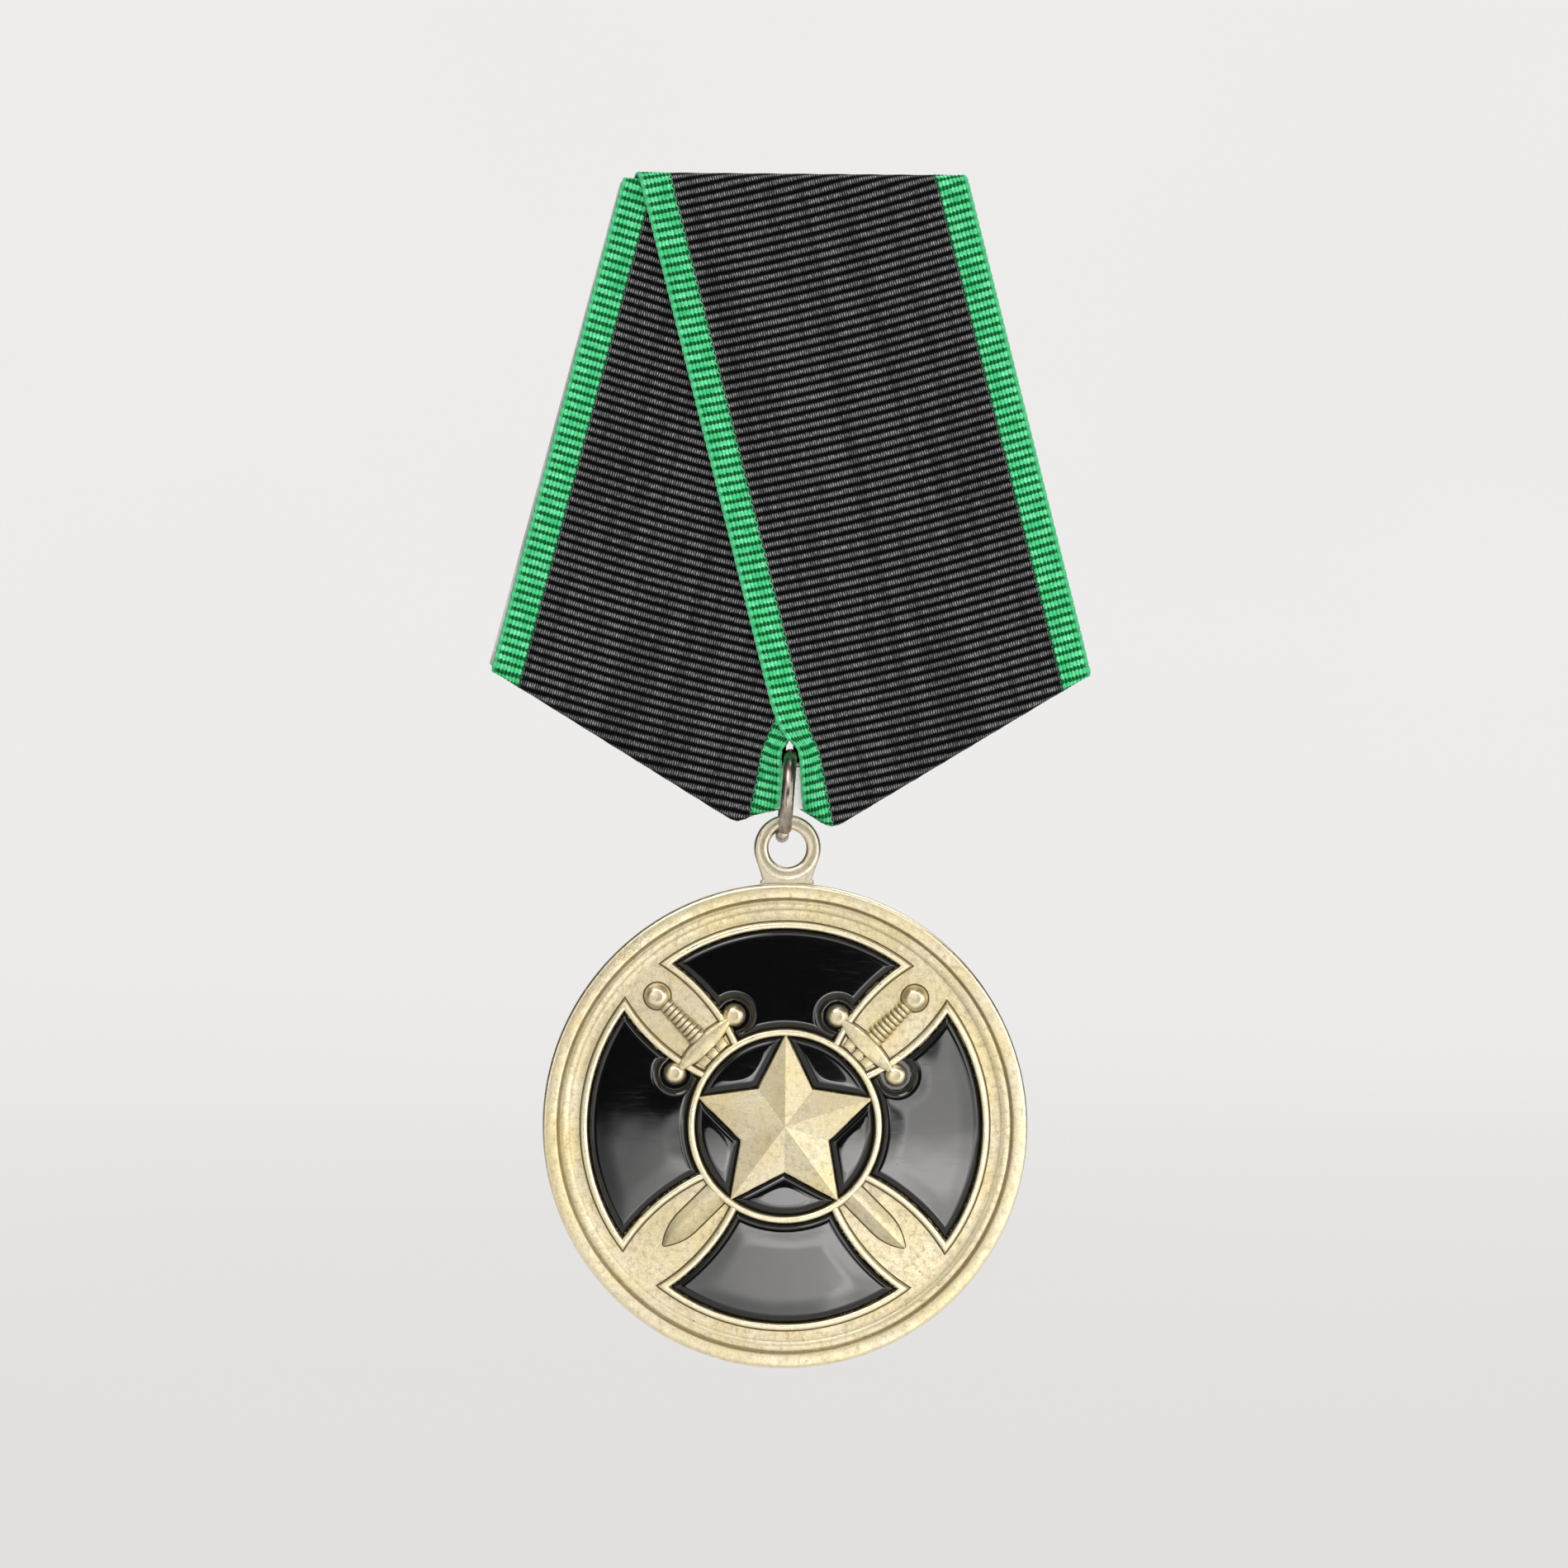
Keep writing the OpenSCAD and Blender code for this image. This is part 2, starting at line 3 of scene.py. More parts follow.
import bpy
import numpy as np
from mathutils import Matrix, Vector


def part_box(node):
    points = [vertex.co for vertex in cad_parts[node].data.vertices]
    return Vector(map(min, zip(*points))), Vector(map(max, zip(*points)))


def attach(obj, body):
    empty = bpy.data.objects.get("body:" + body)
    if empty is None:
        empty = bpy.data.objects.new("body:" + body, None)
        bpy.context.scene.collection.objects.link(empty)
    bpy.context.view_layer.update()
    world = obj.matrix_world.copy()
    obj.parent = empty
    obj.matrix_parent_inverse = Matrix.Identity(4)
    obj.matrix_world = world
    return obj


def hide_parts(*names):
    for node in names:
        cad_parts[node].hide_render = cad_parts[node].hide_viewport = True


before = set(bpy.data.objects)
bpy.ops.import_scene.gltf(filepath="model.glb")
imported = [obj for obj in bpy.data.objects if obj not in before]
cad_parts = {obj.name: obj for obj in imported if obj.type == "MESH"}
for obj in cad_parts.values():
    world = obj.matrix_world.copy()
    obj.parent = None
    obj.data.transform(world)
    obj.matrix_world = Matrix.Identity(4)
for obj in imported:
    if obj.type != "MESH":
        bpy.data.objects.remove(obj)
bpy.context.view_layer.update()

MM = 0.001

# ---- Places and sizes shared with the CAD, in millimetres ----


def mid(node, axis):
    low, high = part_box(node)
    return (low[axis] + high[axis]) / 2 / MM


PLANE_Y = mid("jump_ring", 1)  # middle plane of the plate and of the disc
TOP_Z = 14.0  # drops are measured down from here
DISC_Z = mid("medal_disc", 2)
RING_Z = mid("jump_ring", 2)
EYELET_OUT = 2.55  # outer radius
EYELET_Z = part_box("suspension_eyelet")[1].z / MM - EYELET_OUT

PLATE_TOP = TOP_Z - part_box("front_plate")[1].z / MM
PLATE_TOP_HALF = 13  # half the length of the plate's top edge
PLATE_EDGE_R = 0.4
LOWER_SLOPE = 14 / 22.9
POINT_DROP = 51.7
RIBBON_W = 24.2
LEAN = math.radians(14.5)  # of each panel, from the vertical
STRIPE_W = 2.3
THREAD = STRIPE_W / 8  # pitch of the green threads
FINE_THREAD = 0.18  # pitch of the black threads
RIB = 0.69  # pitch of the cross ribs

# Heights on the disc, from its middle plane, and distances from its centre
FIELD = 0.75
RIM = 1.25
DISC_R = 18.5
CROSS_R, HOLLOW_R, GAP_AT, GAP_HALF = 15.6, 14.3, 12.1, 2.3
WALL_W, WALL_TOP = 0.55, 1.35
RING_OUT, RING_IN = 7.43, 6.87
STAR_R = 6.95
GUARD_AT, BALL_AT, BALL_R, POMMEL_AT, POMMEL_R = 8.76, 3.16, 0.87, 13.9, 1.0
ENAMEL_TOP = 1.17
ENAMEL_GAP = 0.01  # between a fill and the metal round it

# ---- Mesh helpers ----


def grid_faces(rows, cols, wrap=False):
    """Quads between neighbouring rows of points; wrap joins each row's last point to its first."""
    r, c = np.meshgrid(np.arange(rows - 1), np.arange(cols if wrap else cols - 1), indexing="ij")
    n = (c + 1) % cols
    return np.stack([r * cols + c, r * cols + n, (r + 1) * cols + n, (r + 1) * cols + c], -1).reshape(-1, 4)


def smooth(t):
    t = np.clip(t, 0, 1)
    return t * t * (3 - 2 * t)


def turned(x, y, degrees):
    a = math.radians(degrees)
    return x * math.cos(a) - y * math.sin(a), x * math.sin(a) + y * math.cos(a)


class Shape:
    """A piece's points and faces: x to the right, y up, h towards the viewer. Each point has a patina value:
    above 0 for patina and painted shade, below 0 for polish and painted highlight.
    """

    def __init__(self):
        self.points, self.patina, self.faces = [], [], []
        self.count = 0

    def add(self, points, faces, patina=0.0):
        points = np.asarray(points, float).reshape(-1, 3)
        self.points.append(points)
        self.patina.append(np.broadcast_to(np.asarray(patina, float), (len(points),)))
        self.faces += [[int(i) + self.count for i in f] for f in faces]
        self.count += len(points)

    def sweep(self, rows, patina=None, wrap=False):
        """rows: array (rows, points, 3). The patina values, one for each row, give patina and painted shade
        above 0 and polish and painted highlight below 0.
        """
        rows = np.asarray(rows, float)
        value = 0.0 if patina is None else np.repeat(np.asarray(patina, float), rows.shape[1])
        self.add(rows, grid_faces(rows.shape[0], rows.shape[1], wrap), value)

    def lathe(self, profile, centre=(0, 0, 0), segments=96, patina=None):
        """Turns (radius, height) round the axis that faces the viewer; a radius of 0 at an end closes it."""
        profile = [tuple(p) for p in profile]
        value = list(patina) if patina is not None else [0.0] * len(profile)
        angle = np.linspace(0, 2 * math.pi, segments, endpoint=False)
        rings = [(r, h, q) for (r, h), q in zip(profile, value) if r > 0]
        base = self.count
        rows = np.array([[(r * math.cos(a), r * math.sin(a), h) for a in angle] for r, h, _ in rings])
        self.sweep(rows + np.array(centre), [q for _, _, q in rings], wrap=True)
        for end, ring in ((0, 0), (-1, len(rings) - 1)):
            if profile[end][0] == 0:
                tip, first = self.count, base + ring * segments
                self.add([np.array([0, 0, profile[end][1]]) + np.array(centre)], [], value[end])
                self.faces += [[first + k, first + (k + 1) % segments, tip] for k in range(segments)]

    def turn(self, degrees, start):
        """Turns every part added since start about the disc's centre."""
        for k in range(start, len(self.points)):
            p = self.points[k]
            x, y = turned(p[:, 0], p[:, 1], degrees)
            self.points[k] = np.column_stack([x, y, p[:, 2]])

    def piece(self, name, z, material, body, nodes, smooth_angle):
        p = np.concatenate(self.points)
        world = np.column_stack([p[:, 0], PLANE_Y - p[:, 2], z + p[:, 1]]) * MM
        mesh = bpy.data.meshes.new(name)
        mesh.from_pydata(world.tolist(), [], self.faces)
        # the patina values: patina and painted shade above 0, polish and painted highlight below 0
        mesh.attributes.new("patina", "FLOAT", "POINT").data.foreach_set(
            "value", np.concatenate(self.patina).astype(np.float32))
        finish_piece(name, mesh, material, body, nodes, smooth_angle)


def finish_piece(name, mesh, material, body, nodes, smooth_angle, modifiers=(), outward=True):
    """Makes the object, turns its faces outward unless told not to, and gives it its body, nodes and slot."""
    mesh.validate()
    obj = bpy.data.objects.new(name, mesh)
    bpy.context.scene.collection.objects.link(obj)
    bpy.context.view_layer.objects.active = obj
    obj.select_set(True)
    if outward:
        bpy.ops.object.mode_set(mode="EDIT")
        bpy.ops.mesh.select_all(action="SELECT")
        bpy.ops.mesh.normals_make_consistent(inside=False)
        bpy.ops.object.mode_set(mode="OBJECT")
    for kind, settings in modifiers:
        m = obj.modifiers.new(kind.title(), kind)
        for key, value in settings.items():
            setattr(m, key, value)
    mesh.shade_smooth()
    if smooth_angle < 180:
        mesh.set_sharp_from_angle(angle=math.radians(smooth_angle))
    obj.select_set(False)
    mesh.materials.append(material)
    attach(obj, body)
    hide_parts(*nodes)
    return obj


# ---- Materials ----


class Look:
    """A node material built up call by call; coordinates are the piece's own, in millimetres."""

    def __init__(self, name, **values):
        self.material = bpy.data.materials.new(name)
        self.material.use_nodes = True
        self.tree = self.material.node_tree
        self.shader = self.tree.nodes["Principled BSDF"]
        for key, value in values.items():
            self.shader.inputs[key.replace("_", " ")].default_value = value
        place = self.node("ShaderNodeTexCoord")
        self.mm = self.vector("SCALE", place.outputs["Object"], scale=1 / MM)

    def node(self, kind, inputs=None, **settings):
        n = self.tree.nodes.new(kind)
        for key, value in settings.items():
            setattr(n, key, value)
        for key, value in (inputs or {}).items():
            self.feed(value, n.inputs[key])
        return n

    def feed(self, value, socket):
        if isinstance(value, bpy.types.NodeSocket):
            self.tree.links.new(value, socket)
        else:
            socket.default_value = value

    def vector(self, op, a, b=None, scale=None):
        n = self.node("ShaderNodeVectorMath", {0: a}, operation=op)
        if b is not None:
            self.feed(b, n.inputs[1])
        if scale is not None:
            n.inputs["Scale"].default_value = scale
        return n.outputs[0]

    def math(self, op, a, b=0.0, clamp=False):
        return self.node("ShaderNodeMath", {0: a, 1: b}, operation=op, use_clamp=clamp).outputs[0]

    def times(self, a, b):
        return self.math("MULTIPLY", a, b)

    def plus(self, a, b):
        return self.math("ADD", a, b)

    def minus(self, a, b):
        return self.math("SUBTRACT", a, b)

    def ramp(self, value, low, high, out_low=0.0, out_high=1.0):
        limits = {"Value": value, "From Min": low, "From Max": high, "To Min": out_low, "To Max": out_high}
        return self.node("ShaderNodeMapRange", limits, interpolation_type="SMOOTHSTEP").outputs[0]

    def mix(self, factor, a, b):
        n = self.node("ShaderNodeMix", data_type="RGBA")
        self.feed(factor, n.inputs["Factor"])
        for value, socket in ((a, n.inputs[6]), (b, n.inputs[7])):
            if not isinstance(value, bpy.types.NodeSocket):
                value = (*value, 1.0)
            self.feed(value, socket)
        return n.outputs[2]

    def noise(self, per_mm, detail=2.0, stretch=(1, 1, 1), roughness=0.5, where=None):
        place = self.vector("MULTIPLY", where or self.mm, stretch)
        return self.node("ShaderNodeTexNoise", {"Vector": place, "Scale": per_mm, "Detail": detail,
                                                "Roughness": roughness}).outputs[0]

    def attribute(self, name):
        return self.node("ShaderNodeAttribute", attribute_name=name)

    def set(self, name, value):
        self.feed(value, self.shader.inputs[name])

    def bump(self, height, strength, distance):
        last = self.shader.inputs["Normal"].links
        n = self.node("ShaderNodeBump", {"Strength": strength, "Distance": distance * MM, "Height": height})
        if last:
            self.feed(last[0].from_socket, n.inputs["Normal"])
        self.set("Normal", n.outputs[0])


def brass_look(name, pale, warm, worn=1.0):
    """Antiqued plated brass: mottled colour, fine grain, small pits, dark patina and painted shade in the
    corners, polish and painted highlight on the raised edges.
    """
    k = Look(name, Metallic=1.0)
    cloud = k.noise(0.28, 4.0, roughness=0.6)
    fleck = k.noise(2.2, 5.0, roughness=0.65)
    grain = k.noise(9.0, 3.0, roughness=0.7)
    pits = k.node("ShaderNodeTexVoronoi", {"Vector": k.mm, "Scale": 1.15}).outputs["Distance"]
    pit = k.times(k.ramp(pits, 0.10, 0.03), k.ramp(k.noise(0.5), 0.52, 0.62))
    colour = k.mix(k.ramp(cloud, 0.36, 0.66), pale, warm)
    colour = k.mix(k.times(k.ramp(fleck, 0.46, 0.70), 0.68 * worn), colour, [c * 0.56 for c in warm])
    colour = k.mix(k.times(k.ramp(grain, 0.34, 0.72), 0.42 * worn), colour, [c * 0.48 for c in warm])
    tone = k.noise(0.10, 3.0, roughness=0.55)
    colour = k.mix(k.times(k.ramp(tone, 0.42, 0.60), 0.28 * worn), colour, [c * 0.62 for c in pale])
    spark = k.ramp(k.noise(5.0, 3.0, roughness=0.7), 0.58, 0.72)
    colour = k.mix(k.times(spark, 0.5 * worn), colour, [min(1.0, c * 1.25) for c in pale])
    colour = k.mix(k.times(pit, 0.75), colour, (0.16, 0.12, 0.06))
    # patina values from the mesh: patina and painted shade above 0, polish and painted highlight below 0
    patina = k.attribute("patina").outputs["Fac"]
    # polish and painted highlight: brighter, smoother metal where the patina values are below 0
    polish_and_highlight = k.times(k.math("MULTIPLY", patina, -1.0, clamp=True), k.ramp(fleck, 0.62, 0.42, 0.75, 1.0))
    colour = k.mix(polish_and_highlight, colour, [min(1.0, c * 1.16) for c in pale])
    # dark patina and painted shade where the patina values are above 0
    dark = k.times(k.math("MAXIMUM", patina, 0.0), k.ramp(fleck, 0.2, 0.6, 1.0, 0.8))
    colour = k.mix(dark, colour, (0.045, 0.032, 0.014))
    k.set("Base Color", colour)
    rough = k.ramp(fleck, 0.3, 0.7, 0.30, 0.46)
    rough = k.minus(rough, k.times(polish_and_highlight, 0.06))
    k.set("Roughness", k.plus(rough, k.times(dark, 0.3)))
    rubbed = k.minus(1.0, k.times(polish_and_highlight, 0.75))
    k.bump(k.times(grain, rubbed), 0.45, 0.025)
    k.bump(k.times(fleck, rubbed), 0.45, 0.045)
    k.bump(k.minus(1.0, pit), 0.6, 0.05)
    return k.material


def enamel_look():
    """Poured black enamel: glossy, with faint ripples, dust and hair scratches."""
    k = Look("enamel_black", Roughness=0.06, IOR=1.52)
    ripple = k.noise(0.30, 1.0)
    hair = k.noise(1.0, 3.0, stretch=(0.5, 1, 7.0))
    speck = k.node("ShaderNodeTexVoronoi", {"Vector": k.mm, "Scale": 0.9}).outputs["Distance"]
    dust = k.times(k.ramp(speck, 0.05, 0.02), k.ramp(k.noise(0.7), 0.55, 0.65))
    black = k.mix(k.noise(0.2), (0.0015, 0.0015, 0.0018), (0.003, 0.003, 0.0034))
    k.set("Base Color", k.mix(dust, black, (0.05, 0.05, 0.05)))
    k.set("Roughness", k.plus(k.ramp(hair, 0.5, 0.8, 0.045, 0.10), k.times(dust, 0.3)))
    k.bump(ripple, 0.05, 0.15)
    return k.material


def wire_look():
    """Dark nickel wire: drawn streaks, brighter where it has rubbed."""
    k = Look("nickel_dark", Metallic=1.0)
    streak = k.noise(3.0, 4.0, stretch=(3.0, 0.6, 0.6))
    blotch = k.noise(0.7, 3.0)
    colour = k.mix(k.ramp(blotch, 0.35, 0.65), (0.20, 0.17, 0.14), (0.46, 0.40, 0.33))
    k.set("Base Color", k.mix(k.ramp(streak, 0.5, 0.75), colour, (0.20, 0.17, 0.14)))
    k.set("Roughness", k.ramp(blotch, 0.3, 0.7, 0.22, 0.38))
    k.bump(streak, 0.25, 0.02)
    return k.material


def sheet_metal_look(name, pale, dull, grain_along, rough):
    """Rolled or stamped sheet: fine directional grain, stains and handling scratches."""
    k = Look(name, Metallic=1.0)
    grain = k.noise(4.0, 4.0, stretch=grain_along)
    stain = k.noise(0.16, 4.0, roughness=0.6)
    scratch = k.noise(1.6, 2.0, stretch=(0.25, 1.0, 3.5))
    colour = k.mix(k.ramp(stain, 0.38, 0.68), pale, dull)
    colour = k.mix(k.times(k.ramp(grain, 0.45, 0.8), 0.3), colour, [c * 0.6 for c in dull])
    k.set("Base Color", colour)
    worn = k.ramp(scratch, 0.62, 0.7, 0.0, 0.1)
    k.set("Roughness", k.plus(k.ramp(stain, 0.3, 0.7, rough, rough + 0.14), worn))
    k.bump(grain, 0.25, 0.012)
    k.bump(scratch, 0.12, 0.02)
    return k.material


def ribbon_look():
    """Grosgrain: round ribs of fine warp threads, black with a coarser green stripe along each edge."""
    k = Look("grosgrain", Specular_IOR_Level=0.05, Sheen_Weight=0.02, Sheen_Roughness=0.5, IOR=1.45)
    place = k.attribute("cloth").outputs["Vector"]
    cloth = k.node("ShaderNodeSeparateXYZ", {0: place})
    u, v = cloth.outputs[0], cloth.outputs[1]
    fray = k.noise(3.0, 2.0, where=place)
    speck = k.noise(4.2, 3.0, stretch=(1.6, 1.0, 1), roughness=0.7, where=place)

    def wave(across, pitch):
        """0 on the rib or thread, 1 in the groove beside it."""
        t = k.math("FRACT", k.math("DIVIDE", across, pitch))
        return k.times(k.math("ABSOLUTE", k.minus(t, 0.5)), 2.0)

    rib = wave(k.plus(v, k.times(fray, 0.08)), RIB)
    fine = wave(k.plus(u, k.times(fray, 0.07)), FINE_THREAD)
    coarse = wave(k.plus(u, k.times(fray, 0.15)), THREAD)
    edge = k.math("MINIMUM", u, k.minus(RIBBON_W, u))
    step = k.times(k.minus(0.5, rib), 0.30)
    green = k.ramp(k.plus(k.plus(edge, step), k.times(fray, 0.06)), STRIPE_W + 0.05, STRIPE_W)

    streak = k.noise(1.0, 3.0, stretch=(0.9, 0.035, 1), where=place)
    patch = k.noise(0.9, 4.0, where=place)
    # the black carries a painted highlight on the tops of the threads and ribs and painted shade in the grooves
    # between them
    groove = k.ramp(k.plus(rib, k.times(fine, 0.22)), 0.42, 0.66)
    black = k.mix(k.ramp(fine, 0.10, 0.72), (0.345, 0.345, 0.349), (0.028, 0.028, 0.029))
    black = k.mix(k.times(k.ramp(rib, 0.04, 0.50), 0.70), black, (0.008, 0.008, 0.008))
    black = k.mix(k.times(k.ramp(speck, 0.60, 0.40), 0.62), black, (0.012, 0.012, 0.012))
    black = k.mix(k.times(k.ramp(streak, 0.42, 0.64), 0.45), black, (0.006, 0.006, 0.007))
    black = k.mix(k.times(k.ramp(speck, 0.58, 0.72), 0.55), black, (0.40, 0.40, 0.40))
    black = k.mix(groove, black, (0.0008, 0.0008, 0.001))

    lit = k.mix(k.ramp(patch, 0.3, 0.7), (0.055, 0.57, 0.205), (0.18, 0.84, 0.40))
    lit = k.mix(k.times(k.ramp(speck, 0.60, 0.36), 0.45), lit, (0.012, 0.26, 0.08))
    # painted shade in the gaps between the green threads and ribs
    dash = k.ramp(k.plus(rib, k.times(coarse, 0.30)), 0.46, 0.72)
    dash = k.times(dash, k.ramp(coarse, 0.05, 0.75, 0.82, 1.0))
    gap = k.math("MAXIMUM", k.times(k.ramp(coarse, 0.50, 0.95), 0.50), dash)
    lit = k.mix(gap, lit, (0.001, 0.080, 0.018))
    cord = k.ramp(edge, 0.26, 0.16)
    lit = k.mix(k.times(cord, 0.8), lit, (0.085, 0.47, 0.21))
    k.set("Base Color", k.mix(green, black, lit))
    k.set("Roughness", k.ramp(fine, 0.2, 0.9, 0.55, 0.80))
    thread = k.plus(k.times(fine, k.minus(1.0, green)), k.times(coarse, green))
    k.bump(k.minus(1.0, thread), 0.55, 0.04)
    k.bump(k.minus(1.0, groove), 0.5, 0.05)
    k.bump(speck, 0.4, 0.03)
    return k.material


def plain_look(name, colour, rough):
    k = Look(name)
    k.set("Base Color", k.mix(k.noise(0.01), colour, [c * 0.97 for c in colour]))
    k.set("Roughness", k.ramp(k.noise(0.02), 0.3, 0.7, rough, rough + 0.05))
    return k.material


BRASS = brass_look("medal_brass_antique", (0.77, 0.69, 0.495), (0.76, 0.635, 0.355))
EYELET_BRASS = brass_look("eyelet_brass", (0.74, 0.67, 0.53), (0.66, 0.56, 0.38), 0.8)
ENAMEL = enamel_look()
NICKEL = wire_look()
GROSGRAIN = ribbon_look()
PLATE = sheet_metal_look("plate_silvery", (0.90, 0.90, 0.89), (0.78, 0.78, 0.76), (0.3, 1, 2.5), 0.30)
COVER = sheet_metal_look("cover_dull", (0.74, 0.74, 0.73), (0.60, 0.60, 0.58), (2.5, 1, 0.25), 0.34)
FITTING = sheet_metal_look("fitting_brass", (0.82, 0.67, 0.38), (0.62, 0.46, 0.22), (0.25, 1, 2.5), 0.26)
STEEL = sheet_metal_look("pin_steel_drawn", (0.80, 0.80, 0.80), (0.66, 0.66, 0.66), (0.15, 2.5, 2.5), 0.18)

# ---- Ribbon ----


def ribbon(name, node, side, overhang, height, fold_height, fold_curve, push):
    """One panel: a straight strip that leans outwards, folded behind the plate's top and lower edges.
    Worked out for the right side, in (x, drop, height), and mirrored for the left. push gives how far the ring
    pushes the inner edge aside, as drops and distances."""
    c, s = math.cos(LEAN), math.sin(LEAN)
    stripe_steps, middle_steps = 32, 40
    edge = np.arange(stripe_steps + 1) * STRIPE_W / stripe_steps
    middle = np.linspace(STRIPE_W, RIBBON_W - STRIPE_W, middle_steps + 2)[1:-1]
    u = np.concatenate([edge, middle, RIBBON_W - edge[::-1]])
    first_rib, last_rib = -22, 84
    across_rib, rib_crown = np.array([0, 0.18, 0.5, 0.82]), [0.0, 0.82, 1.0, 0.82]
    v = ((np.arange(first_rib, last_rib)[:, None] + across_rib) * RIB).ravel()
    crown = np.tile(rib_crown, last_rib - first_rib)
    U, V = np.meshgrid(u, v)
    crown = np.repeat(crown[:, None], len(u), 1)
    inner = RIBBON_W - U

    # The line of the lower fold, with its corners rounded off
    xs = np.linspace(-2, 26, 561)
    reach, spread = 24, 8.0
    kernel = np.exp(-0.5 * (np.arange(-reach, reach + 1) / spread) ** 2)
    padded = np.pad(fold_curve(xs), reach, mode="reflect", reflect_type="odd")
    curve = np.convolve(padded, kernel / kernel.sum(), "valid")

    def flat(U, V):
        bow = 0.35 * np.sin(math.pi * U / RIBBON_W)
        x = PLATE_TOP_HALF + overhang - U * c + (V + bow) * s
        drop = U * s + (V + bow) * c
        x = x + np.interp(drop, *push) * np.exp(-(((RIBBON_W - U) / 2.1) ** 2))
        return x, drop

    # Where each column meets the lower fold
    low, high = np.full(len(u), 30.0), np.full(len(u), 52.0)
    for _ in range(40):
        m = (low + high) / 2
        x, drop = flat(u, m)
        past = drop > np.interp(x, xs, curve)
        high, low = np.where(past, m, high), np.where(past, low, m)
    fold_v = (low + high) / 2
    fx, fd = flat(u, fold_v)
    norm = math.hypot(1, LOWER_SLOPE)
    t, n = (1 / norm, -LOWER_SLOPE / norm), (LOWER_SLOPE / norm, 1 / norm)

    # The strip's ends: cut square at the top, and short round the ring at the bottom
    tail = np.minimum(7.5, 0.25 + 1.15 * (RIBBON_W - u))
    arc = math.pi * fold_height
    end = fold_v + (arc + tail) / (s * n[0] + c * n[1])
    start = -RIBBON_W * math.tan(LEAN) - math.pi * height - 5.0
    cut = np.clip(V, start, end[None, :])

    x, drop = flat(U, cut)
    a = np.zeros_like(x)
    nx, nd = np.zeros_like(x), np.ones_like(x)
    h = np.full_like(x, height)

    w = cut - fold_v
    dip = smooth(1 + w / 3.2)
    h = h - (height - fold_height) * np.where(w < 0, dip, 1.0)
    beyond = w > 0
    delta = w * (s * n[0] + c * n[1])
    along = w * (s * t[0] + c * t[1])
    turn = np.clip(delta / fold_height, 0, math.pi)
    back = np.maximum(delta - arc, 0)
    bx = fx + along * t[0] + (fold_height * np.sin(turn) - back) * n[0]
    bd = fd + along * t[1] + (fold_height * np.sin(turn) - back) * n[1]
    bh = fold_height * np.cos(turn) - (height - fold_height) * smooth(back / 2.5)
    x, drop, h = np.where(beyond, bx, x), np.where(beyond, bd, drop), np.where(beyond, bh, h)
    a = np.where(beyond, turn, a)
    nx, nd = np.where(beyond, n[0], nx), np.where(beyond, n[1], nd)

    top = PLATE_TOP + PLATE_EDGE_R
    over = top - drop
    above = (over > 0) & ~beyond
    turn = np.clip(over / height, 0, math.pi)
    drop = np.where(above, top - height * np.sin(turn) + np.maximum(over - math.pi * height, 0), drop)
    h = np.where(above, height * np.cos(turn), h)
    a = np.where(above, turn, a)
    nd = np.where(above, -1.0, nd)

    outer = np.minimum(U, inner)
    bead = 0.5 + 0.5 * np.cos(2 * math.pi * (U / THREAD + 0.5))
    stripe = outer < STRIPE_W
    lift = 0.10 * crown + np.where(stripe, 0.045 * bead * crown, 0.0) - 0.075
    lift = lift * np.where((V > start) & (V < end), 1, 0)
    scallop = 0.05 * crown * np.exp(-((outer / 0.3) ** 2)) * np.where(inner < U, -1, 1)
    x = x + lift * np.sin(a) * nx + scallop * c
    drop = drop + lift * np.sin(a) * nd
    h = h + lift * np.cos(a)

    world = np.stack([side * x, PLANE_Y - h, TOP_Z - drop], -1).reshape(-1, 3) * MM
    quads = grid_faces(len(v), len(u))
    keep = np.ptp(cut.ravel()[quads], axis=1) > 1e-6
    quads = quads[keep]
    if side > 0:
        quads = quads[:, ::-1]
    used, index = np.unique(quads, return_inverse=True)
    mesh = bpy.data.meshes.new(name)
    mesh.from_pydata(world[used].tolist(), [], index.reshape(-1, 4).tolist())
    cloth = np.stack([U, cut, np.zeros_like(U)], -1).reshape(-1, 3)[used]
    place = mesh.attributes.new("cloth", "FLOAT_VECTOR", "POINT").data
    place.foreach_set("vector", cloth.astype(np.float32).ravel())
    panel = finish_piece(name, mesh, GROSGRAIN, "block", [node], 180,
                         [("SOLIDIFY", {"thickness": 0.30 * MM, "offset": 0.0})], outward=False)


def lower_line(x):
    """Middle of the fold along the plate's rounded lower edge."""
    return POINT_DROP - LOWER_SLOPE * x - PLATE_EDGE_R * math.hypot(1, LOWER_SLOPE)


def right_curve(x):
    return np.minimum(lower_line(x), 47.75 + 0.62 * (x - 1.1))


def left_curve(x):
    return np.minimum(lower_line(x), np.maximum(47.92 + 0.22 * (x - 1.0), 48.3 + 1.1 * (x - 3.0)))


ribbon("ribbon_left_cloth", "ribbon_left", -1, -0.2, 0.64, 0.60, left_curve,
       ([41.0, 42.2, 43.45, 43.95, 44.5, 45.5, 46.4, 48.4, 50.0],
        [0.0, 0.35, 0.92, 1.26, 1.24, 0.93, 0.70, 0.30, 0.2]))
ribbon("ribbon_right_cloth", "ribbon_right", 1, 0.15, 1.08, 0.70, right_curve,
       ([40.8, 42.4, 43.3, 43.8, 44.3, 45.2, 46.4, 48.4, 50.0],
        [0.0, 0.22, 0.60, 1.10, 1.20, 1.10, 0.87, 0.46, 0.3]))

# ---- Jump ring ----


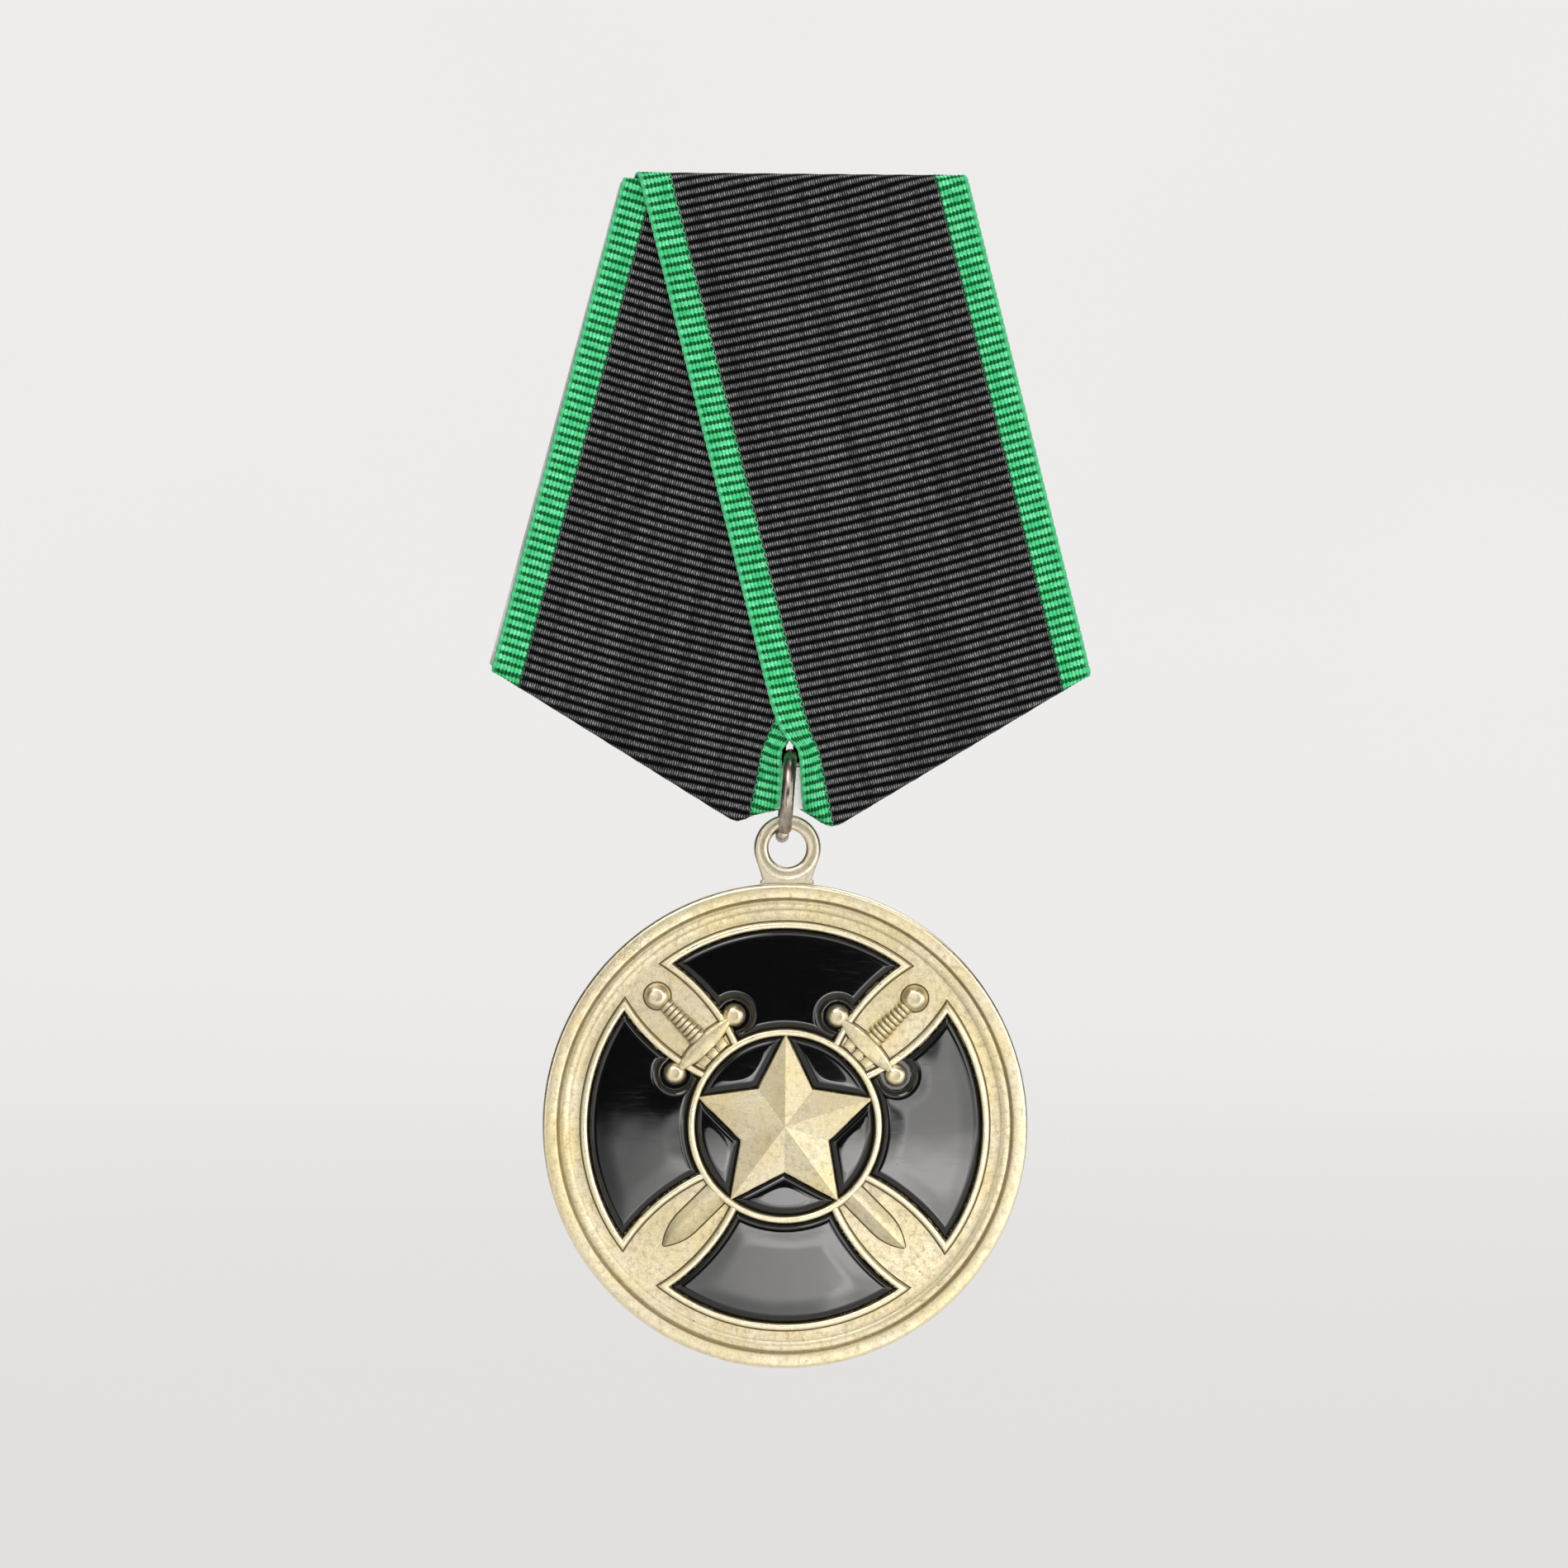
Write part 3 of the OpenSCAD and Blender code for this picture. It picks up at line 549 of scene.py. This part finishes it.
def jump_ring():
    """Round wire bent to a ring, a little sprung, its two ends meeting behind."""
    shape = Shape()
    mean_r, wire_r = 3.1, 0.5
    gap = 0.06
    turns = np.linspace(gap / 2, 2 * math.pi - gap / 2, 150)
    scale = np.ones(len(turns))  # the wire's ends are closed and eased
    scale[:2] = [0.02, 0.86]
    scale[-2:] = [0.86, 0.02]
    around = np.linspace(0, 2 * math.pi, 28, endpoint=False)
    rows = []
    for angle, size in zip(turns, scale):
        a = angle + math.radians(150)
        spring = 0.10 * (angle / math.pi - 1)
        y, h = mean_r * math.cos(a), mean_r * math.sin(a)
        lean = 0.080 * (y + mean_r) - 0.33 + spring
        r = wire_r * size
        rows.append([(lean + r * math.cos(b), (mean_r + r * math.sin(b)) * math.cos(a),
                      (mean_r + r * math.sin(b)) * math.sin(a)) for b in around])
    shape.sweep(rows, wrap=True)
    shape.piece("jump_ring_wire", RING_Z, NICKEL, "ring", ["jump_ring"], 60)


jump_ring()

# ---- Eyelet ----


def eyelet():
    """A ring with a channel round each face, on a foot that flares into the disc's rim."""
    shape = Shape()
    half = [(1.45, 0.0), (1.455, 0.30), (1.49, 0.54), (1.56, 0.70), (1.66, 0.785), (1.75, 0.80), (1.81, 0.785),
            (1.87, 0.735), (1.98, 0.715), (2.10, 0.72), (2.18, 0.75), (2.26, 0.775), (2.38, 0.74), (2.47, 0.60),
            (2.53, 0.34), (EYELET_OUT, 0.0)]
    # dark: polish and painted highlight along the face's inner and outer edges below 0, patina and painted
    # shade in the channel between above 0
    dark = [0, 0, 0, 0, -0.8, -0.8, 0.15, 0.42, 0.42, 0.40, 0.12, -0.8, -0.8, 0, 0, 0]
    loop = half + [(r, -h) for r, h in half[-2:0:-1]]
    shade = dark + dark[-2:0:-1]
    shape.lathe(loop + [loop[0]], segments=120, patina=shade + [0])
    foot_z, rim_z = -2.42, -2.72
    arc = [(2.05 * math.cos(a), 2.05 * math.sin(a)) for a in np.radians(np.linspace(200, 340, 29))]
    flank = [(2.36, -0.95), (2.22, -1.35), (2.02, -1.95), (1.88, foot_z), (2.02, foot_z - 0.06), (2.06, rim_z)]
    outline = flank + [(-x, y) for x, y in flank[::-1]]
    ring = outline + arc
    count = len(ring)
    centre = np.array([0.0, -1.9])
    layers = [(0.70, 0.10), (0.60, 0.0), (-0.60, 0.0), (-0.70, 0.10)]
    points = []
    for h, inset in layers:
        for x, y in ring:
            d = np.array([x, y]) - centre
            d = d * (1 - inset / max(np.hypot(*d), 0.5))
            points.append((centre[0] + d[0], centre[1] + d[1], h))
    faces = grid_faces(len(layers), count, True).tolist()
    faces.append(list(range(count)))
    faces.append(list(range(3 * count, 4 * count))[::-1])
    shape.add(points, faces, 0.05)
    shape.piece("suspension_eyelet_cast", EYELET_Z, EYELET_BRASS, "medal", ["suspension_eyelet"],
                40)


eyelet()

# ---- Disc ----


def arm_side(margin, start_r, count=44):
    """The edge of an arm that faces the diagonal above it, from near the centre out to its tip."""
    r = HOLLOW_R + margin
    u = np.linspace(4, 15.6, 4000)
    v = (HOLLOW_R - GAP_HALF) - np.sqrt(r * r - (u - GAP_AT) ** 2)
    x, y = turned(u, v, 45)
    reach = np.hypot(x, y)
    first = np.interp(start_r, reach, u)
    last = np.interp(CROSS_R - margin, reach, u)
    u2 = np.linspace(first, last, count)
    return np.column_stack([np.interp(u2, u, x), np.interp(u2, u, y)])


def arm_outline(margin, start_r):
    side = arm_side(margin, start_r)
    top = math.atan2(side[-1, 1], side[-1, 0])
    a = np.linspace(top, -top, 72)[1:-1]
    arc = (CROSS_R - margin) * np.column_stack([np.cos(a), np.sin(a)])
    return np.concatenate([side, arc, side[::-1] * [1, -1]])


def dome(centre, radius, flat):
    """Profile of a round bead whose top has been worn flat."""
    base = FIELD - 0.02
    angles = np.radians(np.linspace(math.degrees(math.asin(min(flat / radius, 1))), 90, 12))
    arc = [(radius * math.sin(a), centre + radius * math.cos(a)) for a in angles]
    top = arc[0][1]
    head = [(0, top - 0.03), (flat * 0.55, top - 0.025), (flat * 0.88, top - 0.004)]
    foot = [(radius, base + 0.05), (radius + 0.03, base + 0.025), (radius + 0.12, base + 0.022),
            (radius + 0.14, base)]
    # shade: a little painted shade on the worn flat, polish and painted highlight round its edge, patina and
    # painted shade at the foot
    shade = [0.16, 0.12, 0.0] + [-0.9, -0.8, -0.5] + [0.0] * (len(arc) - 5) + [0.1, 0.35] + [1.0, 1.0, 1.0, 0.6]
    return head + arc + foot, shade


def disc_body(shape):
    back = [(17.35, -FIELD), (17.42, -0.95), (17.6, -1.2), (17.75, -RIM), (18.2, -RIM), (18.38, -1.18),
            (18.47, -1.05), (DISC_R, -0.9)]
    front = [(DISC_R, 0.85), (18.475, 1.04), (18.41, 1.17), (18.32, 1.235), (18.20, RIM), (17.56, 1.24),
             (17.46, 1.22), (17.40, 1.12), (17.37, 0.90), (17.34, 0.80), (17.28, 0.78), (17.22, 0.83),
             (17.12, 0.865), (16.98, 0.875), (16.80, 0.868), (16.62, 0.83), (16.55, 0.80), (16.50, 0.775),
             (16.44, 0.765), (16.36, FIELD)]
    # shade: polish and painted highlight on the rim below 0, patina and painted shade in the groove inside the
    # rim and at the step above 0
    shade = [-0.2, -0.5, -0.7, -0.6, -0.2, -0.1, -0.4, 0.05, 0.4, 0.72, 0.55, 0.05, -0.1, 0, 0, 0.03, 0.18,
             0.30, 0.18, 0]
    field = [(r, FIELD) for r in (15.9, 15, 13, 11, 9, 7, 4)] + [(0, FIELD)]
    profile = [(0, -FIELD), (6, -FIELD), (12, -FIELD), (17.2, -FIELD)] + back + front + field
    # the back's corner by the rim also gets patina and painted shade
    shape.lathe(profile, segments=288, patina=[0, 0, 0, 0.3, 0.8, 0.5] + [0] * 6 + shade + [0] * len(field))


def walls(shape):
    section = [(-0.13, FIELD + 0.001), (-0.09, FIELD + 0.010), (-0.03, FIELD + 0.012), (0.00, 0.90),
               (0.03, 1.20), (0.08, 1.305), (0.16, WALL_TOP), (0.38, WALL_TOP), (0.46, 1.31), (0.51, 1.20),
               (0.54, 0.95), (0.56, FIELD + 0.001)]
    # shade: patina and painted shade at the walls' foot, polish and painted highlight along their tops
    shade = [0.2, 1.0, 1.0, 0.5, 0.0, -0.9, -0.8, -0.8, -1, -0.3, 0.6, 1.0]
    for turn in (0, 90, 180, 270):
        rows = []
        for margin, height in section:
            line = arm_outline(margin, 7.15)
            x, y = turned(line[:, 0], line[:, 1], turn)
            rows.append(np.column_stack([x, y, np.full(len(x), height)]))
        shape.sweep(rows, shade)
    # the centre ring's band is shaded the same: painted shade at its foot, painted highlight along its top
    band = [(RING_OUT + 0.10, FIELD + 0.002), (RING_OUT + 0.04, FIELD + 0.012), (RING_OUT, 0.95),
            (RING_OUT - 0.03, 1.30), (RING_OUT - 0.10, 1.42), (RING_OUT - 0.18, 1.45), (RING_IN + 0.18, 1.45),
            (RING_IN + 0.10, 1.42), (RING_IN + 0.03, 1.30), (RING_IN, 0.95), (RING_IN - 0.03, FIELD + 0.001)]
    shape.lathe(band, segments=192, patina=[0.6, 1, 0.5, 0.0, -0.8, -0.8, -0.6, -0.9, -0.2, 0.6, 1])


def hilt(shape, turn):
    """Pommel, guard with its two beads, grip and blade root, laid along x and then turned."""
    start = len(shape.points)
    axis = FIELD + 0.1
    for centre, radius, flat in (((POMMEL_AT, 0, 0), POMMEL_R, 0.46), ((GUARD_AT, BALL_AT, 0), BALL_R, 0.40),
                                 ((GUARD_AT, -BALL_AT, 0), BALL_R, 0.40)):
        profile, shade = dome(axis, radius, flat)
        shape.lathe(profile, centre, 56, shade)
    # grip: rings that taper to the pommel
    grip_from, grip_to, grip_rings, per = 9.35, 13.05, 9, 8
    steps = grip_rings * per
    ring_at = [grip_from + (grip_to - grip_from) * k / steps for k in range(steps + 1)]
    phase = np.arange(steps + 1) / per
    base = np.interp(ring_at, [grip_from, grip_to], [0.74, 0.52])
    grip = base + 0.13 * np.abs(np.sin(math.pi * phase)) ** 0.55 - 0.02
    around = np.radians(np.linspace(-8, 188, 29))
    rows, shade = [], []
    for x, r, f in zip(ring_at, grip, phase):
        ring = [(x, r * math.cos(a), axis - 0.06 + 1.02 * r * math.sin(a)) for a in around]
        skirt = r + 0.09
        rows.append([(x, skirt, FIELD + 0.004)] + ring + [(x, -skirt, FIELD + 0.004)])
        # deep: patina and painted shade between the grip's rings, and at its foot
        deep = 0.75 * (1 - abs(math.sin(math.pi * f)) ** 0.4)
        shade += [1.0, 0.9] + [deep] * (len(around) - 2) + [0.9, 1.0]
    rows = np.array(rows)
    shape.add(rows, grid_faces(rows.shape[0], rows.shape[1]), shade)
    # guard: a lens-shaped bar between the two beads
    guard_half = 0.6
    arc_r = (BALL_AT ** 2 + guard_half ** 2) / (2 * guard_half)
    rows, shade = [], []
    for y in np.linspace(-BALL_AT + 0.2, BALL_AT - 0.2, 60):
        w = max(math.sqrt(arc_r ** 2 - y * y) - arc_r + guard_half, 0.10) + 0.10
        top = 1.50 - 0.05 * abs(y / BALL_AT) ** 2
        # third values: patina and painted shade at the guard's foot
        side = [(-w - 0.10, FIELD + 0.003, 1.0), (-w - 0.03, FIELD + 0.014, 1.0), (-w, 0.90, 0.4),
                (-w + 0.05, top - 0.11, 0.0), (-w + 0.13, top - 0.02, 0.0), (-w * 0.35, top + 0.015, 0.04),
                (0, top + 0.02, 0.05)]
        side = side + [(-x, h, q) for x, h, q in side[-2::-1]]
        rows.append([(GUARD_AT + x, y, h) for x, h, _ in side])
        shade += [q for _, _, q in side]
    rows = np.array(rows)
    shape.add(rows, grid_faces(rows.shape[0], rows.shape[1]), shade)
    # three pads of the blade's root, between the guard and the centre ring
    near, far = 7.46, 8.22
    for low, high, h in ((-1.32, -0.50, 1.02), (-0.36, 0.36, 1.12), (0.50, 1.32, 1.02)):
        corners = [(near, low * 0.96), (far, low * 1.05), (far, high * 1.05), (near, high * 0.96)]
        middle = np.mean(corners, axis=0)
        rows = []
        for inset, height in ((0.0, FIELD + 0.002), (0.03, h - 0.12), (0.10, h - 0.03), (0.3, h)):
            rows.append([(*(middle + (np.array(c) - middle) * (1 - inset)), height) for c in corners])
        # the values darken the pads' foot: patina and painted shade
        shape.sweep(rows, [1.0, 0.35, 0.05, 0.0], wrap=True)
        n = shape.count
        shape.faces.append([n - 4, n - 3, n - 2, n - 1])
    shape.turn(turn, start)


def blade(shape, turn):
    """The end of a blade: a ridge that narrows to an arched tip."""
    start = len(shape.points)
    arch_from, tip, half = 10.4, 13.1, 0.95
    arch_r = ((tip - arch_from) ** 2 + half ** 2) / (2 * half)
    arch = np.sin(np.linspace(0, math.pi / 2, 26))[1:]
    along = np.concatenate([np.linspace(7.2, arch_from, 14), arch_from + (tip - arch_from) * arch])
    rows, shade = [], []
    for x in along:
        w = half
        if x > arch_from:
            w = max(half - arch_r + math.sqrt(arch_r ** 2 - (x - arch_from) ** 2), 0.012)
        high = FIELD + 0.20 + (1.44 - FIELD - 0.20) * min(w / half, 1) ** 0.8
        # third values: patina and painted shade at the blade's foot
        side = [(w + 0.10, FIELD + 0.003, 1.0), (w + 0.03, FIELD + 0.013, 1.0), (w, FIELD + 0.08, 0.5),
                (w * 0.96, FIELD + 0.20, 0.05), (w * 0.5, FIELD + 0.20 + (high - FIELD - 0.20) * 0.5, 0.0),
                (w * 0.06, high - 0.012, 0.0), (0, high, 0.0)]
        side = side + [(-y, h, q) for y, h, q in side[-2::-1]]
        rows.append([(x, y, h) for y, h, _ in side])
        shade += [q for _, _, q in side]
    rows = np.array(rows)
    shape.add(rows, grid_faces(rows.shape[0], rows.shape[1]), shade)
    shape.turn(turn, start)


def star(shape):
    edge_h, peak_h, floor_h = 1.15, 1.75, FIELD + 0.001
    rim = [(r * math.cos(a), r * math.sin(a)) for r, a in
           ((STAR_R if i % 2 == 0 else STAR_R / 2, math.radians(90 + 36 * i)) for i in range(10))]
    # each facet is a fan of rows from the middle to the edge, then a short drop to the enamel's floor
    levels = [(t, peak_h + (edge_h - peak_h) * t, 0.0) for t in np.linspace(0.004, 1, 14)]
    # the last values: patina and painted shade where the star meets the floor
    levels += [(1.0, edge_h, 0.0), (1.006, edge_h - 0.05, 0.15), (1.015, floor_h, 1.0)]
    for i in range(10):
        a, b = np.array(rim[i]), np.array(rim[(i + 1) % 10])
        side = [a + (b - a) * q for q in np.linspace(0, 1, 13)]
        rows = [[(*(p * reach), height) for p in side] for reach, height, _ in levels]
        shape.sweep(rows, [shade for _, _, shade in levels])



def disc():
    shape = Shape()
    disc_body(shape)
    walls(shape)
    star(shape)
    for turn in (45, 135):
        hilt(shape, turn)
    for turn in (225, 315):
        blade(shape, turn)
    shape.piece("medal_disc_struck", DISC_Z, BRASS, "medal", ["medal_disc"], 42)


disc()

# ---- Enamel ----


def soft_min(distances, k):
    """The smallest distance, blended over about k where two are nearly equal."""
    return -k * np.log(sum(np.exp(-np.clip(d, -2, 6) / k) for d in distances))


def enamel(name, node, distances, box, cell, dome_h, dome_w=2.1):
    """A poured fill: low at the metal, a quick rounded shoulder, then a faint dome. distances(X, Y, moat) gives
    the distance to each of its edges, moat being how far it stays from the sword's beads."""
    edge_moat, shoulder_moat, shoulder_w = 0.03, 0.40, 0.62
    xs, ys = np.arange(box[0], box[1], cell), np.arange(box[2], box[3], cell)
    X, Y = np.meshgrid(xs, ys)

    def exact(X, Y):
        return np.min(np.array(distances(X, Y, edge_moat)), axis=0)

    inside = exact(X, Y) > -0.6 * cell
    for _ in range(3):
        d = exact(X, Y)
        e = 1e-3
        gx, gy = (exact(X + e, Y) - d) / e, (exact(X, Y + e) - d) / e
        move = np.where(d < 0.5 * cell, -d, 0)
        size = np.maximum(gx * gx + gy * gy, 0.2)
        X, Y = X + move * gx / size, Y + move * gy / size
    d = np.maximum(soft_min(distances(X, Y, shoulder_moat), 0.06), 0)
    low = FIELD + 0.06
    t = np.clip(d / shoulder_w, 0, 1)
    wide = np.maximum(soft_min(distances(X, Y, shoulder_moat), 0.35), 0)
    H = low + (ENAMEL_TOP - low) * (1 - (1 - t) ** 2.4) + dome_h * smooth(wide / dome_w)
    quads = grid_faces(len(ys), len(xs))
    quads = quads[inside.ravel()[quads].all(1)]
    used, index = np.unique(quads, return_inverse=True)
    quads = index.reshape(-1, 4)
    p = np.column_stack([X.ravel()[used], Y.ravel()[used], H.ravel()[used]])
    edges = np.concatenate([quads[:, [0, 1]], quads[:, [1, 2]], quads[:, [2, 3]], quads[:, [3, 0]]])
    _, where, times = np.unique(np.sort(edges, 1), axis=0, return_index=True, return_counts=True)
    rim = edges[where[times == 1]]
    shape = Shape()
    n = len(p)
    under = p * [1, 1, 0] + [0, 0, FIELD + 0.005]
    skirt = np.column_stack([rim[:, 1], rim[:, 0], rim[:, 0] + n, rim[:, 1] + n])
    shape.add(np.concatenate([p, under]), np.concatenate([quads, quads[:, ::-1] + n, skirt]).tolist())
    shape.piece(name, DISC_Z, ENAMEL, "medal", [node], 60)


BALLS = [turned(GUARD_AT, side * BALL_AT, turn) for turn in (45, 135) for side in (1, -1)]


def arm_distances(turn):
    """Edges of a cross arm: the outer arc, the centre ring, the two hollow sides and the beads."""
    def distances(X, Y, moat):
        x, y = turned(X, Y, -turn)
        out = [CROSS_R - WALL_W - ENAMEL_GAP - np.hypot(x, y), np.hypot(x, y) - RING_OUT - ENAMEL_GAP]
        for flip in (1, -1):
            u, v = turned(x, flip * y, -45)
            out.append(np.hypot(u - GAP_AT, v - (HOLLOW_R - GAP_HALF)) - HOLLOW_R - WALL_W - ENAMEL_GAP)
        out += [np.hypot(X - bx, Y - by) - BALL_R - moat for bx, by in BALLS]
        return out
    return distances


def field_distances(middle):
    """Edges of a field between two points of the star: the ring and the two sides of the notch."""
    def distances(X, Y, moat):
        x, y = turned(X, Y, -middle)
        a = np.array([STAR_R / 2, 0.0])
        t = STAR_R * np.array([math.cos(math.radians(36)), math.sin(math.radians(36))]) - a
        t = t / np.hypot(*t)
        sides = [(x - a[0]) * t[1] - flip * y * t[0] - 0.06 for flip in (1, -1)]
        return [RING_IN - ENAMEL_GAP - np.hypot(x, y)] + sides
    return distances


for place, turn, crown in (("right", 0, 0.02), ("top", 90, 0.0), ("left", 180, 0.02), ("bottom", 270, 0.03)):
    cx, cy = turned(11.2, 0, turn)
    reach = (9.2, 5.2) if turn % 180 else (5.2, 9.2)
    enamel(f"enamel_{place}_fill", f"enamel_arm_{place}", arm_distances(turn),
           (cx - reach[0], cx + reach[0], cy - reach[1], cy + reach[1]), 0.09, crown)
for place in range(1, 6):
    middle = 90 - 36 - 72 * (place - 1)
    enamel(f"enamel_star_{place}_fill", f"enamel_star_field_{place}", field_distances(middle),
           (-7.2, 7.2, -7.2, 7.2), 0.07, 0.045, 0.8)

# ---- CAD parts that keep their shape ----

for name, material, edge_w in (("front_plate", PLATE, 0.12), ("back_cover", COVER, 0.12),
                               ("pin_bar", FITTING, 0.12), ("catch_bracket", FITTING, 0.07),
                               ("catch_barrel", FITTING, 0.07), ("pin_needle", STEEL, 0.07),
                               ("hinge_rivet", STEEL, 0.07)):
    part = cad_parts[name]
    part.data.materials.clear()
    part.data.materials.append(material)
    weld = part.modifiers.new("Weld", "WELD")
    weld.merge_threshold = 0.004 * MM
    bevel = part.modifiers.new("Bevel", "BEVEL")
    bevel.width = edge_w * MM
    bevel.segments = 3
    bevel.limit_method = "ANGLE"
    bevel.angle_limit = math.radians(40)
    part.modifiers.new("Normals", "WEIGHTED_NORMAL")

# ---- Camera, floor and light ----

DISTANCE = 0.40
VIEW_W = 0.1196  # width of the view at that distance
SENSOR_W = 36
ROLL = math.radians(-0.5)
AIM = Vector((-0.0003, -0.0058, (TOP_Z - 46.7) * MM))

camera = bpy.data.objects.new("camera", bpy.data.cameras.new("camera"))
bpy.context.scene.collection.objects.link(camera)
camera.location = AIM + Vector((0, -DISTANCE, 0))
camera.rotation_euler = (math.radians(90), ROLL, 0)
camera.data.sensor_width = SENSOR_W
camera.data.lens = SENSOR_W * DISTANCE / VIEW_W
camera.data.clip_start = 0.01
bpy.context.scene.camera = camera


def stage_mesh(name, points, faces, material):
    mesh = bpy.data.meshes.new(name)
    mesh.from_pydata(points, [], faces.tolist())
    mesh.shade_smooth()
    mesh.materials.append(material)
    obj = bpy.data.objects.new(name, mesh)
    bpy.context.scene.collection.objects.link(obj)
    return obj


def stage_floor():
    """A pale round floor that curves up into a pale wall, seen by the camera only, and the smaller floor and
    backdrop that give the medal its bounce and its reflections."""
    floor_z, radius, curve = -0.105, 1.5, 0.6
    angles = np.linspace(0, math.pi / 2, 20)
    line = [(0.001, floor_z), (0.3, floor_z), (0.6, floor_z)]
    line += [(radius - curve + curve * math.sin(a), floor_z + curve * (1 - math.cos(a))) for a in angles]
    line += [(radius, 1.4), (radius, 2.4)]
    around = np.linspace(0, 2 * math.pi, 96, endpoint=False)
    points = [(r * math.cos(a), r * math.sin(a), z) for r, z in line for a in around]
    k = Look("floor_pale", Roughness=0.8, Specular_IOR_Level=0.0)
    k.set("Base Color", (0, 0, 0, 1))
    k.set("Emission Color", k.mix(k.noise(0.004, 3.0), (1.0, 0.99, 0.98), (0.97, 0.96, 0.95)))
    place = k.vector("MULTIPLY", k.mm, (MM, MM, 0))
    away = k.node("ShaderNodeVectorMath", {0: place}, operation="LENGTH").outputs["Value"]
    k.set("Emission Strength", k.ramp(away, 0.1, 1.3, 0.77, 0.86))
    bowl = stage_mesh("floor", points, grid_faces(len(line), len(around), True), k.material)
    bowl.visible_glossy = bowl.visible_diffuse = bowl.visible_shadow = False

    back_y, curve, half = 1.8, 0.6, 2.0
    line = [(-0.45, floor_z), (0.0, floor_z), (back_y - curve, floor_z)]
    line += [(back_y - curve + curve * math.sin(a), floor_z + curve * (1 - math.cos(a))) for a in angles]
    line += [(back_y, 2.0)]
    points = [(x, y, z - 0.025) for y, z in line for x in np.linspace(-half, half, 9)]
    pale = plain_look("bounce_pale", (0.80, 0.79, 0.78), 0.7)
    bounce = stage_mesh("floor_bounce", points, grid_faces(len(line), 9), pale)
    bounce.visible_camera = bounce.visible_shadow = False


def area_light(name, place, aim, size, power):
    data = bpy.data.lights.new(name, "AREA")
    data.shape = "RECTANGLE"
    data.size, data.size_y = size
    data.energy = power
    light = bpy.data.objects.new(name, data)
    bpy.context.scene.collection.objects.link(light)
    light.location = place
    light.rotation_euler = (Vector(aim) - Vector(place)).to_track_quat("-Z", "Y").to_euler()
    light.visible_camera = False


CARD_GLOW = 5.6


def soft_card():
    """A low glowing card in front, higher on the right and fading to the left: the enamel mirrors it."""
    y, x_low, x_high, z_low, z_high = -0.25, -0.050, 0.16, -0.129, -0.046
    points = [(x_low, y, z_low), (x_high, y, z_low), (x_high, y, z_high), (x_low, y, z_high)]
    k = Look("soft_card_glow", Roughness=1.0)
    place = k.node("ShaderNodeSeparateXYZ", {0: k.mm})
    x, z = place.outputs[0], place.outputs[2]
    low = k.times(k.ramp(x, -41.0, 8.0), k.ramp(z, -73.0, -77.0))
    right = k.times(k.ramp(x, 8.0, 12.5), k.ramp(z, -60.0, -67.0, 0.0, 0.78))
    high = k.times(k.ramp(x, 12.5, 16.5), k.ramp(z, -47.0, -55.0, 0.0, 0.74))
    fade = k.math("MAXIMUM", low, k.math("MAXIMUM", right, high))
    strip = k.times(k.ramp(z, -76.0, -80.0), k.ramp(z, -88.0, -84.0))
    post = k.times(k.ramp(x, 6.0, 8.5), k.ramp(x, 14.0, 11.0))
    hot = k.times(k.math("MAXIMUM", strip, post), k.ramp(x, -14.0, -6.0))
    fade = k.times(fade, k.plus(1.0, k.times(hot, 0.55)))
    fade = k.times(fade, k.ramp(z, -112.0, -98.0, 0.40, 1.0))
    fade = k.times(fade, k.ramp(x, 38.0, 23.0, 0.50, 1.0))
    k.set("Emission Color", (1.0, 0.985, 0.97, 1.0))
    k.set("Emission Strength", k.times(fade, CARD_GLOW))
    k.set("Base Color", (0, 0, 0, 1))
    card = stage_mesh("soft_card", points, np.array([[0, 1, 2, 3]]), k.material)
    card.visible_camera = card.visible_shadow = False


stage_floor()
soft_card()
target = (0, 0, -0.035)
area_light("key_top", (-0.22, -0.42, 0.52), target, (0.30, 0.24), 1.6)
area_light("front_top", (0.05, -0.50, 0.33), target, (0.7, 0.34), 1.35)
area_light("front_left", (-0.42, -0.46, -0.02), target, (0.36, 0.5), 0.78)
area_light("front_right", (0.42, -0.46, -0.02), target, (0.36, 0.5), 1.65)
area_light("rim_right", (0.45, -0.12, -0.06), target, (0.12, 0.4), 0.5)
area_light("back_wash", (0.2, 0.35, 0.7), (0, 0.6, -0.05), (0.8, 0.6), 7.0)

world = bpy.data.worlds.new("studio")
bpy.context.scene.world = world
world.use_nodes = True
tree = world.node_tree
background = tree.nodes["Background"]
background.inputs["Color"].default_value = (1.0, 0.99, 0.98, 1)
seen = tree.nodes.new("ShaderNodeMapRange")
seen.inputs["To Min"].default_value, seen.inputs["To Max"].default_value = 0.07, 0.75
tree.links.new(tree.nodes.new("ShaderNodeLightPath").outputs["Is Camera Ray"], seen.inputs["Value"])
tree.links.new(seen.outputs[0], background.inputs["Strength"])
bpy.context.scene.view_settings.view_transform = "Standard"
